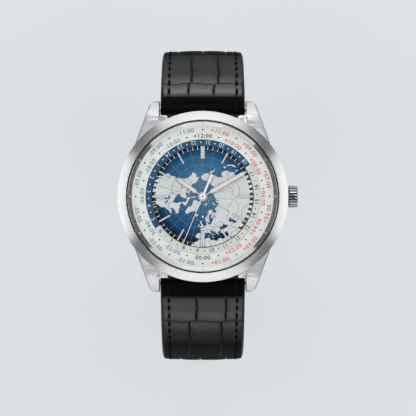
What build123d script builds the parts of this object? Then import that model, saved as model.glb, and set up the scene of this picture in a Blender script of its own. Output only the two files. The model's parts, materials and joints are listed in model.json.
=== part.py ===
"""A self-winding world time wristwatch on a leather strap, in millimetres.

The origin is the centre of the case back's outer face. +Z points out of the dial, +Y to
12 o'clock and +X to the crown at 3 o'clock. The strap hangs below, unbuckled and curved as
round a wrist, with its tail flat on the surface that the watch stands on.
"""
import os
from math import atan2, cos, degrees, hypot, radians, sin, sqrt

from build123d import *

os.makedirs("parts", exist_ok=True)

# Driving sizes of the case
case_radius = 20.8
case_bottom_z = 1.3
case_top_z = 8.9
bezel_overhang = 0.5
case_waist = 0.8
case_wall = 3.3
case_shoulder_radius = case_radius - bezel_overhang
case_waist_radius = case_shoulder_radius - case_waist
case_bore_radius = case_radius - case_wall
overrun = 1.0

# Bezel, crystal and their seal
bezel_width = 2.2
crystal_ledge = 0.15
bezel_seat_radius = case_radius - bezel_width
bezel_inner_radius = bezel_seat_radius + crystal_ledge
bezel_top_z = 11.2
bezel_rim_width = 0.35
bezel_edge_z = 9.75
bezel_edge_low_z = 9.3
bezel_edge_land = 0.35
crystal_seal_width = 0.2
crystal_radius = bezel_seat_radius - crystal_seal_width
crystal_bottom_z = 10.2
crystal_edge_z = 11.35
crystal_top_z = 11.84
crystal_bevel = 0.25
crystal_gasket_foot = crystal_radius - crystal_ledge

# Case back and its window
back_inset = 1.9
back_window_inset = 6.2
back_crystal_ledge = 0.7
back_radius = case_radius - back_inset
back_window_radius = case_radius - back_window_inset
back_crystal_radius = back_window_radius + back_crystal_ledge
back_crystal_thickness = 1.1
back_lip = 0.35
back_boss_clearance = 0.1
back_boss_ledge = 0.3
back_boss_radius = case_bore_radius - back_boss_clearance
back_boss_bore_radius = back_crystal_radius + back_boss_ledge
glass_clearance = 0.02
back_boss_height = 1.2
back_edge_bevel = 0.4
back_notch_inset = 2.0
back_notch_radius = back_radius - back_notch_inset
back_notch_count = 6
back_notch_length = 2.2
back_notch_width = 1.1
back_notch_depth = 0.45
back_gasket_inset = 0.4
back_gasket_width = 0.5
back_gasket_inner = case_bore_radius + back_gasket_inset
back_gasket_outer = back_gasket_inner + back_gasket_width
back_gasket_height = 0.3

# Lugs, as seen from the front and from the side
lug_width = 21.0
lug_tip_reach = 2.6
lug_tip_round = 0.7
lug_tip_width = 2.4
lug_base_width = 5.9
lug_root_width = 7.1
lug_tip_y = case_radius + lug_tip_reach
lug_tip_outer_x = lug_width / 2 + lug_tip_width
lug_tip_outer_y = lug_tip_y - lug_tip_round
lug_base_outer_x = lug_width / 2 + lug_base_width
lug_base_outer_y = 13.0
lug_root_x = lug_width / 2 + lug_root_width
lug_root_y = 8.5
lug_tip_top_z = 3.2
lug_tip_bottom_z = 0.7
lug_belly_z = 6.9
lug_belly_drop = 5.0
lug_belly_y = lug_tip_y - lug_belly_drop
lug_edge_land = 0.35
shoulder_inset = 1.7
shoulder_reach = 1.2
shoulder_x = lug_width / 2 - shoulder_inset
shoulder_y = case_radius - shoulder_reach
shoulder_bottom_z = 2.6
shoulder_top_z = 7.4

# Spring bars that carry the strap
bar_reach = 0.7
bar_y = case_radius + bar_reach
bar_z = 2.6
bar_radius = 0.75
bar_tip_radius = 0.4
bar_tip_length = 0.8
bar_hole_clearance = 0.05
strap_side_clearance = 0.15

# Dial side: dial, rings, markers and hands
dial_radius = 12.4
dial_bottom_z = 8.45
dial_top_z = 8.85
ring_gap = 0.05
day_ring_outer = 14.3
day_ring_bottom_z = 8.5
day_ring_top_z = 8.8
day_ring_skirt_z = 8.1
city_ring_inner = 13.9
city_ring_outer = case_bore_radius - ring_gap
city_ring_bottom_z = 8.85
city_ring_top_z = 9.05
flange_overlap = 0.3
flange_inner = case_bore_radius - flange_overlap
flange_top_z = 10.1
flange_top_land = 0.15
marker_outer = 12.25
marker_length = 3.1
marker_width = 0.38
double_marker_width = 0.84
marker_height = 0.32
marker_ridge = 0.12
hour_count = 12

# Hands: length from the centre, widths and heights
hour_hand_length = 7.9
hour_hand_width = 1.3
hour_hand_neck = 2.3
hour_hand_z = 9.25
minute_hand_length = 12.25
minute_hand_width = 1.2
minute_hand_neck = 2.2
minute_hand_z = 9.52
neck_width = 0.45
hand_thickness = 0.16
hand_hub_radius = 1.15
hand_shoulder = 0.7
hand_point = 2.3
hand_lume_margin = 0.22
seconds_length = 12.7
seconds_tail = 5.84
seconds_z = 9.79
seconds_thickness = 0.09
seconds_hub_radius = 0.55
seconds_width = 0.14
seconds_tail_width = 0.52
hour_angle = 304.5
minute_angle = 60.4
seconds_angle = 202.6

# Movement: radius and levels, from the rotor up to the dial
movement_radius = 15.5
bridge_radius = 15.2
plate_bottom_z = 6.3
plate_top_z = 7.3
bridge_bottom_z = 3.0
bridge_thickness = 1.0
bridge_gap = 0.5
stem_z = 5.0
pillar_radius = 0.9
cover_bottom_z = 8.05
cover_radius = 12.2
holder_clearance = 0.1
holder_outer = case_bore_radius - holder_clearance
holder_bottom_z = 2.6
holder_ledge_z = 7.75
holder_ledge_inner = 13.4
ring_seat_z = 8.08
ring_seat_radius = 14.4

# Bridges as seen from the dial side, with their screws
barrel_bridge_outline = (
    (-2.5, 20.0),
    (-0.6, 9.0),
    (0.4, 4.6),
    (1.9, 2.4),
    (2.9, 0.4),
    (2.9, -2.0),
    (4.8, -4.2),
    (20.0, -4.2),
    (20.0, 20.0),
)
train_bridge_outline = (
    (-3.1, 20.0),
    (-1.1, 8.9),
    (-0.1, 4.4),
    (1.4, 2.1),
    (2.4, 0.3),
    (2.4, -2.2),
    (4.4, -4.5),
    (4.4, -6.0),
    (-1.2, -6.0),
    (-3.3, -3.9),
    (-7.0, -2.6),
    (-20.0, -2.2),
    (-20.0, 20.0),
)
winding_bridge_outline = (
    (5.0, -4.7),
    (20.0, -4.7),
    (20.0, -20.0),
    (-0.8, -20.0),
    (-0.8, -6.6),
    (5.0, -6.6),
)
balance_cock_outline = (
    (-5.7, -6.5),
    (-6.9, -9.3),
    (-14.8, -7.0),
    (-14.8, -2.9),
    (-12.6, -3.4),
)
balance_cock_head = 1.5
barrel_bridge_screws = ((12.2, 6.6), (2.2, 13.4), (11.8, -3.0))
train_bridge_screws = ((-6.8, 9.8), (-11.5, 2.0), (-5.9, 0.2), (2.2, -4.2))
winding_bridge_screws = ((3.0, -8.0), (12.4, -6.0), (3.0, -12.8))
balance_cock_screws = ((-12.6, -5.4),)
cover_pillars = ((-8.0, 4.0), (-6.0, -8.0), (2.0, 9.5))
cover_pillar_radius = 0.6
screw_head_radius = 0.75
screw_head_recess = 0.8
screw_head_low_z = 2.95
screw_head_high_z = 3.35
screw_shank_radius = 0.35
screw_shank_recess = 0.38
screw_shank_high_z = 5.0
screw_slot_width = 0.16
screw_slot_depth = 0.12
bridge_jewel_z = 3.05
plate_jewel_z = 6.35
jewel_hole_radius = 0.09
jewel_sink = 0.03
pallet_cock_z = 5.1
pallet_cock_thickness = 0.35
pallet_cock_width = 1.4
pallet_cock_reach = 2.9
pallet_cock_pillar = 0.5

# Going train: teeth, modules and levels
addendum_share = 1.0
dedendum_share = 1.25
tooth_root_share = 0.3
tooth_tip_share = 0.13
wheel_thickness = 0.18
wheel_rim_width = 0.45
wheel_hub_radius = 0.6
pinion_height = 0.4
arbor_radius = 0.12
pivot_radius = 0.07
jewel_radius = 0.55
jewel_thickness = 0.25

barrel_teeth = 72
barrel_module = 0.13
second_pinion_teeth = 12
second_teeth = 72
second_module = 0.09
third_pinion_teeth = 9
third_teeth = 75
third_module = 0.085
fourth_pinion_teeth = 10
fourth_teeth = 96
fourth_module = 0.07
escape_pinion_teeth = 8
escape_teeth = 20
escape_radius = 2.0
escape_root_share = 0.78
escape_tip_share = 0.3
escape_back_share = 0.5

barrel_centre = (6.0, 7.6)
third_bearing = 119.7
escape_bearing = 230.0
balance_centre = (-6.3, -7.9)
balance_radius = 4.2
balance_rim_width = 0.45
balance_rim_height = 0.35
balance_rim_z = 4.55
balance_arm_width = 0.4
balance_hub_radius = 0.7
balance_screw_count = 8
balance_screw_radius = 0.18
balance_screw_length = 0.3
hairspring_turns = 11
hairspring_inner = 0.55
hairspring_pitch = 0.17
hairspring_width = 0.05
hairspring_height = 0.15
hairspring_z = 4.2
collet_radius = 0.5
collet_height = 0.25
stud_radius = 0.15
stud_arm_width = 0.6
stud_arm_overhang = 0.3
roller_radius = 0.75
roller_z = 5.35
roller_thickness = 0.2
roller_pin_at = 0.6
roller_pin_top_z = 5.9
roller_pin_radius = 0.09
pallet_share = 0.425
pallet_z = 5.72
pallet_thickness = 0.2
pallet_arm_width = 0.3
fork_slot = 0.26
fork_slot_depth = 0.45
fork_end_width = 0.7
fork_end_length = 0.8
fork_hub_radius = 0.4
stone_width = 0.26
stone_length = 0.55
stone_tip = 0.12
stone_angle = 25.0

barrel_z = 4.15
barrel_tooth_height = 0.35
barrel_drum_radius = 4.4
barrel_height = 1.45
barrel_wall = 0.2
barrel_floor = 0.15
barrel_arbor_clearance = 0.04
barrel_arbor_radius = 1.0
mainspring_turns = 11
mainspring_pitch = 0.26
mainspring_width = 0.12
mainspring_inner = 1.2
second_wheel_z = 5.75
third_wheel_z = 4.7
fourth_wheel_z = 5.2
escape_wheel_z = 5.75

# Motion work under the dial
motion_module = 0.17
cannon_teeth = 12
minute_wheel_teeth = 36
drive_wheel_teeth = 48
hour_module = 0.1632
minute_pinion_teeth = 10
hour_wheel_teeth = 40
ring_module = 0.22
drive_pinion_teeth = 20
day_ring_teeth = 120
setting_teeth = 12
minute_bearing = -20.0
motion_thickness = 0.18
hour_wheel_thickness = 0.18
minute_pinion_high_z = 8.0
motion_post_radius = 0.3
motion_pivot_low_z = 6.8
motion_z = 7.4
hour_wheel_z = 7.72
drive_pinion_z = 8.12
drive_pinion_height = 0.28
centre_tube_bore = 0.2
centre_tube_radius = 0.34
cannon_bore = 0.37
cannon_pipe_radius = 0.6
hour_pipe_bore = 0.65
hour_pipe_radius = 0.9

# Winding work
crown_radius = 2.75
crown_clearance = 0.1
crown_inner_x = case_radius + crown_clearance
crown_length = 2.25
crown_flutes = 24
crown_flute_radius = 0.24
crown_rim = 0.3
crown_socket_radius = 1.75
crown_socket_depth = 1.8
crown_pull = 1.0
sliding_share = 0.8
tube_radius = 1.2
tube_bore_radius = 0.55
tube_reach = 1.5
tube_inner_x = case_bore_radius - ring_gap
tube_outer_x = crown_inner_x + tube_reach
seal_bore = 1.23
seal_radius = 1.72
seal_width = 0.4
seal_x = crown_inner_x + ring_gap
stem_radius = 0.5
stem_tip_x = 6.3
groove_x = 13.4
groove_width = 0.7
groove_radius = 0.3
winding_pinion_x = 10.2
winding_pinion_width = 1.3
winding_pinion_teeth = 14
winding_pinion_radius = 1.43
winding_tooth_depth = 0.3
sliding_pinion_x = 9.0
sliding_pinion_width = 0.95
sliding_pinion_radius = 0.95
sliding_pinion_groove = 0.4
sliding_groove_radius = 0.72
pinion_bore_clearance = 0.04
lever_pivot_y = -3.4
lever_z = 5.6
lever_thickness = 0.3
lever_pin_radius = 0.25
lever_pin_drop = 0.27
lever_hub_radius = 0.6
lever_width = 0.6
yoke_pivot_y = -4.0
yoke_z = 6.0
yoke_thickness = 0.25
yoke_finger_radius = 0.15
yoke_finger_drop = 0.23
lever_post_radius = 0.25
crown_wheel_radius = 3.2
crown_wheel_teeth = 36
ratchet_z = 3.2
ratchet_thickness = 0.35
ratchet_square_radius = 0.6
recess_clearance = 0.2
recess_depth = 0.65
wheel_screw_height = 0.15
click_distance = 5.35
click_bearing = 100.0
click_beak_distance = 4.88
click_beak_bearing = 85.0
click_beak_radius = 0.12
click_radius = 0.4
click_post_radius = 0.2
click_thickness = 0.3
click_recess_radius = 1.25
keyless_slot_half_width = 1.6
keyless_slot_inner_x = 8.9
keyless_slot_top_z = 6.95

# Self-winding rotor
rotor_radius = 14.3
rotor_z = 1.75
rotor_plate_thickness = 0.35
rotor_rim_width = 2.4
rotor_rim_height = 1.1
rotor_hub_radius = 2.6
rotor_post_radius = 0.8
rotor_window_inner = 4.5
rotor_window_outer = 10.4
rotor_window_angle = 40.0
rotor_cap_radius = 1.3
rotor_cap_low_z = 1.57
rotor_cap_high_z = 1.7
rotor_running_gap = 0.04

# Strap: lengths along its path, widths and thickness
strap_root_radius = 1.6
strap_tail_taper = 3.5
strap_buckle_taper = 3.3
strap_tail_width = lug_width - strap_tail_taper
strap_buckle_width = lug_width - strap_buckle_taper
strap_tail_thickness = 2.6
strap_edge_thickness = 3.0
strap_edge_bevel = 1.6
strap_crown_thickness = 4.5
strap_crown_from = 6.0
strap_crown_to = 46.0
strap_least_crown = 0.15
strap_drop_angle = 25.0
strap_crown_ramp = 9.0
strap_section_step = 3.7
strap_thinning_share = 0.6
strap_end_shares = (0.45, 0.75, 0.93)
upper_length = 67.0
upper_lead = 2.05
upper_shoulder_radius = 15.0
upper_curl_radius = 23.0
upper_curl_angle = 60.0
lower_length = 115.0
lower_lead = 5.3
lower_shoulder_radius = 18.6
lower_drop = 17.0
lower_curl_radius = 28.0
tail_point_length = 7.0
tail_point_width = 5.0
tail_point_shares = (0.4, 0.7, 0.88, 0.97)
tail_hole_radius = 0.85
tail_hole_count = 7
tail_hole_spacing = 6.0
tail_hole_first = 69.0

# Buckle and keepers
buckle_bar_radius = 0.7
buckle_bar_clearance = 0.05
buckle_eye_radius = 1.45
buckle_arm_overhang = 1.2
buckle_tip_radius = 0.4
buckle_tip_length = 0.8
tongue_ring_radius = 1.1
tongue_gap = 0.04
tongue_overhang = 0.9
buckle_side_room = 0.5
buckle_inner_width = strap_buckle_width + buckle_side_room
buckle_arm = 1.3
buckle_reach = 9.0
buckle_end_bar = 2.0
buckle_thickness = 1.7
tongue_width = 1.9
tongue_thickness = 1.0
tongue_slot_half_width = 1.3
tongue_slot_length = 2.2
keeper_wall = 0.9
keeper_gap = 2.9
keeper_side_clearance = 0.12
keeper_travel = 6.0
fixed_keeper_at = 62.0
fixed_keeper_width = 4.0
loose_keeper_at = 56.2
loose_keeper_width = 5.0


# Places worked out from the sizes
def on_bearing(distance, bearing, start=(0.0, 0.0)):
    """A point at a distance and a compass-free bearing, counted from +X, of a start point."""
    return (
        start[0] + distance * cos(radians(bearing)),
        start[1] + distance * sin(radians(bearing)),
    )


def bearing_of(start, end):
    """The bearing from one point to another, in degrees from +X."""
    return degrees(atan2(end[1] - start[1], end[0] - start[0]))


def distance_of(start, end):
    """The distance between two points of the plane."""
    return hypot(end[0] - start[0], end[1] - start[1])


def pitch_radius(teeth, module):
    """A gear's pitch radius."""
    return teeth * module / 2


centre = (0.0, 0.0)
third_distance = pitch_radius(third_teeth + fourth_pinion_teeth, third_module)
third_centre = on_bearing(third_distance, third_bearing)
second_third_distance = pitch_radius(second_teeth + third_pinion_teeth, second_module)
barrel_second_distance = pitch_radius(barrel_teeth + second_pinion_teeth, barrel_module)


def where_circles_meet(first, first_radius, second, second_radius, side):
    """The point at both distances, on the left (+1) or right (-1) of the line between them."""
    apart = distance_of(first, second)
    along = (first_radius**2 - second_radius**2 + apart**2) / (2 * apart)
    across = side * sqrt(first_radius**2 - along**2)
    foot = on_bearing(along, bearing_of(first, second), first)
    return on_bearing(across, bearing_of(first, second) + 90, foot)


second_centre = where_circles_meet(
    third_centre, second_third_distance, barrel_centre, barrel_second_distance, -1
)
escape_distance = pitch_radius(fourth_teeth + escape_pinion_teeth, fourth_module)
escape_centre = on_bearing(escape_distance, escape_bearing)
lever_line = bearing_of(escape_centre, balance_centre)
lever_run = distance_of(escape_centre, balance_centre)
pallet_centre = on_bearing(lever_run * pallet_share, lever_line, escape_centre)
minute_distance = pitch_radius(cannon_teeth + minute_wheel_teeth, motion_module)
minute_centre = on_bearing(minute_distance, minute_bearing)
drive_distance = pitch_radius(day_ring_teeth - drive_pinion_teeth, ring_module)
minute_drive_distance = pitch_radius(minute_wheel_teeth + drive_wheel_teeth, motion_module)
drive_centre = where_circles_meet(
    centre, drive_distance, minute_centre, minute_drive_distance, -1
)
setting_distance = pitch_radius(minute_wheel_teeth + setting_teeth, motion_module)
setting_centre = on_bearing(setting_distance, -minute_bearing / 2, minute_centre)
crown_wheel_centre = (winding_pinion_x - crown_wheel_radius, 0.0)
ratchet_distance = distance_of(barrel_centre, crown_wheel_centre)
ratchet_pitch_radius = ratchet_distance - crown_wheel_radius
click_pivot = on_bearing(click_distance, click_bearing, barrel_centre)
click_beak = on_bearing(click_beak_distance, click_beak_bearing, barrel_centre)
click_middle = ((click_pivot[0] + click_beak[0]) / 2, (click_pivot[1] + click_beak[1]) / 2)
crown_wheel_module = 2 * crown_wheel_radius / crown_wheel_teeth
ratchet_teeth = round(2 * ratchet_pitch_radius / crown_wheel_module)
ratchet_module = 2 * ratchet_pitch_radius / ratchet_teeth


def meshed(driver, driver_teeth, driver_phase, driven, driven_teeth):
    """The phase that puts a driven gear's gap on the driver's tooth where they meet."""
    line = bearing_of(driver, driven)
    part = (line - driver_phase) / (360 / driver_teeth)
    return line + 180 - (360 / driven_teeth) * (0.5 - part)


def meshed_inside(ring_teeth, ring_phase, pinion_centre, pinion_teeth):
    """The phase that meshes a pinion with the teeth inside a ring round the origin."""
    line = bearing_of(centre, pinion_centre)
    part = (line - ring_phase) / (360 / ring_teeth)
    return line - (360 / pinion_teeth) * (0.5 + part)


def tooth_points(teeth, module, phase, place=centre, inward=False):
    """A gear's outline: four points a tooth, at its root and its tip."""
    pitch = 360 / teeth
    side = -1 if inward else 1
    root = pitch_radius(teeth, module) - side * dedendum_share * module
    tip = pitch_radius(teeth, module) + side * addendum_share * module
    corners = (
        (root, -tooth_root_share),
        (tip, -tooth_tip_share),
        (tip, tooth_tip_share),
        (root, tooth_root_share),
    )
    return [
        on_bearing(radius, phase + pitch * (tooth + share), place)
        for tooth in range(teeth)
        for radius, share in corners
    ]


def gear(teeth, module, phase, place, low, height, bore=0.0, spokes=0):
    """A flat gear, solid or with a rim, a hub and spokes."""
    with BuildPart() as body:
        with BuildSketch(Plane.XY.offset(low)):
            with BuildLine():
                Polyline(*tooth_points(teeth, module, phase, place), close=True)
            make_face()
            if spokes:
                inner = pitch_radius(teeth, module) - dedendum_share * module - wheel_rim_width
                with Locations(place):
                    Circle(inner, mode=Mode.SUBTRACT)
                    Circle(wheel_hub_radius)
                    with PolarLocations(0, spokes, start_angle=phase):
                        Rectangle(
                            inner + wheel_rim_width / 2,
                            wheel_rim_width,
                            align=(Align.MIN, Align.CENTER),
                        )
            if bore:
                with Locations(place):
                    Circle(bore, mode=Mode.SUBTRACT)
        extrude(amount=height)
    return body.part


def turned(place, steps):
    """A turned arbor: a stack of cylinders from (low, high, radius) steps."""
    with BuildPart() as body:
        for low, high, radius in steps:
            with BuildSketch(Plane.XY.offset(low)):
                with Locations(place):
                    Circle(radius)
            extrude(amount=high - low)
    return body.part


def tube(place, low, high, outer, inner):
    """A plain ring or pipe."""
    with BuildPart() as body:
        with BuildSketch(Plane.XY.offset(low)):
            with Locations(place):
                Circle(outer)
                Circle(inner, mode=Mode.SUBTRACT)
        extrude(amount=high - low)
    return body.part


def joined(*parts):
    """One solid from parts that touch."""
    with BuildPart() as whole:
        for part in parts:
            add(part)
    return whole.part


def turned_profile(points):
    """A solid of revolution about the watch's axis, from (radius, height) points."""
    with BuildPart() as body:
        with BuildSketch(Plane.XZ):
            with BuildLine():
                Polyline(*points, close=True)
            make_face()
        revolve(axis=Axis.Z)
    return body.part


written = []


def save(part, name):
    """Labels a finished piece and writes its file."""
    part.label = name
    export_step(part, f"parts/{name}.step")
    written.append(name)


# Case middle with its four lugs
def lug_solid():
    """One lug, at the upper right: the front outline crossed with the side outline."""
    with BuildPart() as lug:
        with BuildSketch(Plane.XY):
            with BuildLine():
                Polyline(
                    (lug_width / 2, lug_root_y),
                    (lug_width / 2, lug_tip_y),
                    (lug_width / 2 + lug_edge_land, lug_tip_y),
                )
                TangentArc(
                    (lug_width / 2 + lug_edge_land, lug_tip_y),
                    (lug_tip_outer_x, lug_tip_outer_y),
                    tangent=(1, 0),
                )
                Polyline(
                    (lug_tip_outer_x, lug_tip_outer_y),
                    (lug_base_outer_x, lug_base_outer_y),
                    (lug_root_x, lug_root_y),
                    (lug_width / 2, lug_root_y),
                )
            make_face()
        extrude(amount=case_top_z)
        with BuildSketch(Plane.YZ.offset(shoulder_x)):
            with BuildLine():
                Polyline(
                    (lug_tip_y, lug_tip_top_z),
                    (lug_tip_outer_y, lug_tip_bottom_z),
                    (shoulder_y, case_bottom_z),
                    (lug_root_y, case_bottom_z),
                    (lug_root_y, case_top_z),
                    (lug_base_outer_y, case_top_z),
                )
                ThreePointArc(
                    (lug_base_outer_y, case_top_z),
                    (lug_belly_y, lug_belly_z),
                    (lug_tip_y, lug_tip_top_z),
                )
            make_face()
        extrude(amount=case_radius, mode=Mode.INTERSECT)
    return lug.part


one_lug = lug_solid()
shoulder_middle_x = (shoulder_x + lug_width / 2) / 2
shoulder_width = lug_width / 2 - shoulder_x + bezel_rim_width
with BuildPart() as case_middle:
    with BuildSketch(Plane.XZ):
        with BuildLine():
            Polyline(
                (case_bore_radius, case_bottom_z),
                (case_waist_radius, case_bottom_z),
                (case_shoulder_radius, (case_bottom_z + case_top_z) / 2),
                (case_shoulder_radius, case_top_z),
                (case_bore_radius, case_top_z),
                close=True,
            )
        make_face()
    revolve(axis=Axis.Z)
    add(one_lug)
    add(one_lug.mirror(Plane.YZ))
    add(one_lug.mirror(Plane.XZ))
    add(one_lug.mirror(Plane.YZ).mirror(Plane.XZ))
    with BuildSketch(Plane.XY.offset(shoulder_bottom_z)):
        for across in (-1, 1):
            for along in (-1, 1):
                with Locations((across * shoulder_middle_x, along * lug_belly_y)):
                    Rectangle(shoulder_width, (shoulder_y - lug_belly_y) * 2)
    extrude(amount=shoulder_top_z - shoulder_bottom_z)
    with BuildSketch(Plane.XY.offset(case_bottom_z - overrun)):
        Circle(case_bore_radius)
    extrude(amount=case_top_z - case_bottom_z + 2 * overrun, mode=Mode.SUBTRACT)
    with BuildSketch(Plane.XY.offset(case_bottom_z - overrun)):
        Circle(back_radius + strap_side_clearance)
    extrude(amount=overrun, mode=Mode.SUBTRACT)
    with BuildSketch(Plane.XY.offset(case_bottom_z)):
        Circle(back_gasket_outer)
        Circle(back_gasket_inner, mode=Mode.SUBTRACT)
    extrude(amount=back_gasket_height, mode=Mode.SUBTRACT)
    for along in (-1, 1):
        with BuildSketch(Plane.YZ.offset(-lug_width / 2 - bar_tip_length)):
            with Locations((along * bar_y, bar_z)):
                Circle(bar_tip_radius + bar_hole_clearance)
        extrude(amount=lug_width + 2 * bar_tip_length, mode=Mode.SUBTRACT)
    with BuildSketch(Plane.YZ.offset(case_bore_radius - overrun)):
        with Locations((0, stem_z)):
            Circle(tube_radius)
    extrude(amount=2 * overrun + case_radius - case_bore_radius, mode=Mode.SUBTRACT)
save(case_middle.part, "case_middle")

# Bezel, crystal and crystal gasket
save(
    turned_profile(
        (
            (bezel_inner_radius, case_top_z),
            (case_radius - bezel_edge_land, case_top_z),
            (case_radius, bezel_edge_low_z),
            (case_radius, bezel_edge_z),
            (case_radius - bezel_edge_land, bezel_edge_z + bezel_edge_land),
            (bezel_seat_radius + bezel_rim_width, bezel_top_z),
            (bezel_seat_radius, bezel_top_z),
            (bezel_seat_radius, flange_top_z),
            (bezel_inner_radius, flange_top_z),
        )
    ),
    "bezel",
)
with BuildPart() as crystal:
    with BuildSketch(Plane.XZ):
        with BuildLine():
            Polyline(
                (0, crystal_top_z),
                (0, crystal_bottom_z),
                (crystal_radius, crystal_bottom_z),
                (crystal_radius, crystal_edge_z - crystal_bevel),
                (crystal_radius - crystal_bevel, crystal_edge_z),
            )
            TangentArc(
                (0, crystal_top_z),
                (crystal_radius - crystal_bevel, crystal_edge_z),
                tangent=(1, 0),
            )
        make_face()
    revolve(axis=Axis.Z)
save(crystal.part, "crystal")
save(
    turned_profile(
        (
            (crystal_gasket_foot, flange_top_z),
            (bezel_seat_radius, flange_top_z),
            (bezel_seat_radius, crystal_edge_z - crystal_bevel),
            (crystal_radius, crystal_edge_z - crystal_bevel),
            (crystal_radius, crystal_bottom_z),
            (crystal_gasket_foot, crystal_bottom_z),
        )
    ),
    "crystal_gasket",
)

# Case back, its window and its gasket
glass_seat_z = back_lip + back_crystal_thickness
with BuildPart() as case_back:
    with BuildSketch(Plane.XZ):
        with BuildLine():
            Polyline(
                (back_window_radius, 0),
                (back_radius - back_edge_bevel, 0),
                (back_radius, back_edge_bevel),
                (back_radius, case_bottom_z),
                (back_boss_radius, case_bottom_z),
                (back_boss_radius, case_bottom_z + back_boss_height),
                (back_boss_bore_radius, case_bottom_z + back_boss_height),
                (back_boss_bore_radius, glass_seat_z),
                (back_crystal_radius + glass_clearance, glass_seat_z),
                (back_crystal_radius + glass_clearance, back_lip),
                (back_window_radius, back_lip),
                close=True,
            )
        make_face()
    revolve(axis=Axis.Z)
    with BuildSketch(Plane.XY):
        with PolarLocations(back_notch_radius, back_notch_count):
            Rectangle(back_notch_width, back_notch_length)
    extrude(amount=back_notch_depth, mode=Mode.SUBTRACT)
save(case_back.part, "case_back")
save(
    turned(
        centre,
        (
            (0, back_lip, back_window_radius - ring_gap),
            (back_lip, glass_seat_z, back_crystal_radius),
        ),
    ),
    "back_crystal",
)
back_gasket_top_z = case_bottom_z + back_gasket_height
save(
    tube(centre, case_bottom_z, back_gasket_top_z, back_gasket_outer, back_gasket_inner),
    "back_gasket",
)

# Movement holder, with the ledge that the 24-hour ring turns on
with BuildPart() as holder:
    with BuildSketch(Plane.XZ):
        with BuildLine():
            Polyline(
                (movement_radius + ring_gap, holder_bottom_z),
                (holder_outer, holder_bottom_z),
                (holder_outer, city_ring_bottom_z),
                (ring_seat_radius, city_ring_bottom_z),
                (ring_seat_radius, ring_seat_z),
                (holder_ledge_inner, ring_seat_z),
                (holder_ledge_inner, holder_ledge_z),
                (movement_radius + ring_gap, holder_ledge_z),
                close=True,
            )
        make_face()
    revolve(axis=Axis.Z)
    with BuildSketch(Plane.YZ.offset(movement_radius - overrun)):
        with Locations((0, stem_z)):
            Circle(tube_bore_radius)
    extrude(amount=case_radius - movement_radius, mode=Mode.SUBTRACT)
save(holder.part, "movement_holder")

# Flange, city ring, 24-hour ring and dial
save(
    turned_profile(
        (
            (flange_inner, city_ring_top_z),
            (case_bore_radius, city_ring_top_z),
            (case_bore_radius, case_top_z),
            (bezel_inner_radius - ring_gap, case_top_z),
            (bezel_inner_radius - ring_gap, flange_top_z),
            (bezel_inner_radius - ring_gap - flange_top_land, flange_top_z),
            (flange_inner, city_ring_top_z + ring_gap),
        )
    ),
    "flange_ring",
)
save(
    tube(centre, city_ring_bottom_z, city_ring_top_z, city_ring_outer, city_ring_inner),
    "city_ring",
)
with BuildPart() as day_ring:
    with BuildSketch(Plane.XY.offset(day_ring_skirt_z)):
        Circle(day_ring_outer)
        with BuildLine():
            Polyline(*tooth_points(day_ring_teeth, ring_module, 0, inward=True), close=True)
        make_face(mode=Mode.SUBTRACT)
    extrude(amount=day_ring_bottom_z - day_ring_skirt_z)
    with BuildSketch(Plane.XY.offset(day_ring_bottom_z)):
        Circle(day_ring_outer)
        Circle(dial_radius + ring_gap, mode=Mode.SUBTRACT)
    extrude(amount=day_ring_top_z - day_ring_bottom_z)
save(day_ring.part, "hour_ring_24")
save(
    tube(centre, dial_bottom_z, dial_top_z, dial_radius, hour_pipe_radius + ring_gap),
    "dial",
)


# Hour markers: ridged bars, two side by side at 12 and at 6
def marker_bar(across):
    """One ridged bar at 12 o'clock, off to one side by the given distance."""
    with BuildPart() as bar:
        with BuildSketch(Plane.XZ.offset(-marker_outer + marker_length)):
            with BuildLine():
                Polyline(
                    (across - marker_width / 2, dial_top_z),
                    (across + marker_width / 2, dial_top_z),
                    (across + marker_width / 2, dial_top_z + marker_height - marker_ridge),
                    (across, dial_top_z + marker_height),
                    (across - marker_width / 2, dial_top_z + marker_height - marker_ridge),
                    close=True,
                )
            make_face()
        extrude(amount=-marker_length)
    return bar.part


single_marker = marker_bar(0)
double_offset = (double_marker_width - marker_width) / 2
double_marker = joined(marker_bar(double_offset), marker_bar(-double_offset))
with BuildPart() as markers:
    for hour in range(hour_count):
        upright = hour % (hour_count / 2) == 0
        source = double_marker if upright else single_marker
        add(source.rotate(Axis.Z, 360 * hour / hour_count))
save(markers.part, "hour_markers")


# Hands
def baton_hand(length, width, neck, low, bore, clock_angle):
    """A hand with a hub, a thin neck and a pointed blade with an open slot for the lume."""
    turn = Location((0, 0, low), (0, 0, -clock_angle))
    with BuildPart() as hand:
        with BuildSketch(Plane.XY):
            with BuildLine():
                Polyline(
                    (-neck_width / 2, 0),
                    (-neck_width / 2, neck),
                    (-width / 2, neck + hand_shoulder),
                    (-width / 2, length - hand_point),
                    (-seconds_width / 2, length),
                    (seconds_width / 2, length),
                    (width / 2, length - hand_point),
                    (width / 2, neck + hand_shoulder),
                    (neck_width / 2, neck),
                    (neck_width / 2, 0),
                    close=True,
                )
            make_face()
            with BuildLine():
                Polyline(
                    (0, neck + hand_shoulder / 2),
                    (-width / 2 + hand_lume_margin, neck + hand_shoulder),
                    (-width / 2 + hand_lume_margin, length - hand_point),
                    (0, length - hand_shoulder),
                    (width / 2 - hand_lume_margin, length - hand_point),
                    (width / 2 - hand_lume_margin, neck + hand_shoulder),
                    close=True,
                )
            make_face(mode=Mode.SUBTRACT)
            Circle(hand_hub_radius)
            Circle(bore, mode=Mode.SUBTRACT)
        extrude(amount=hand_thickness)
    return hand.part.moved(turn)


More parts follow.
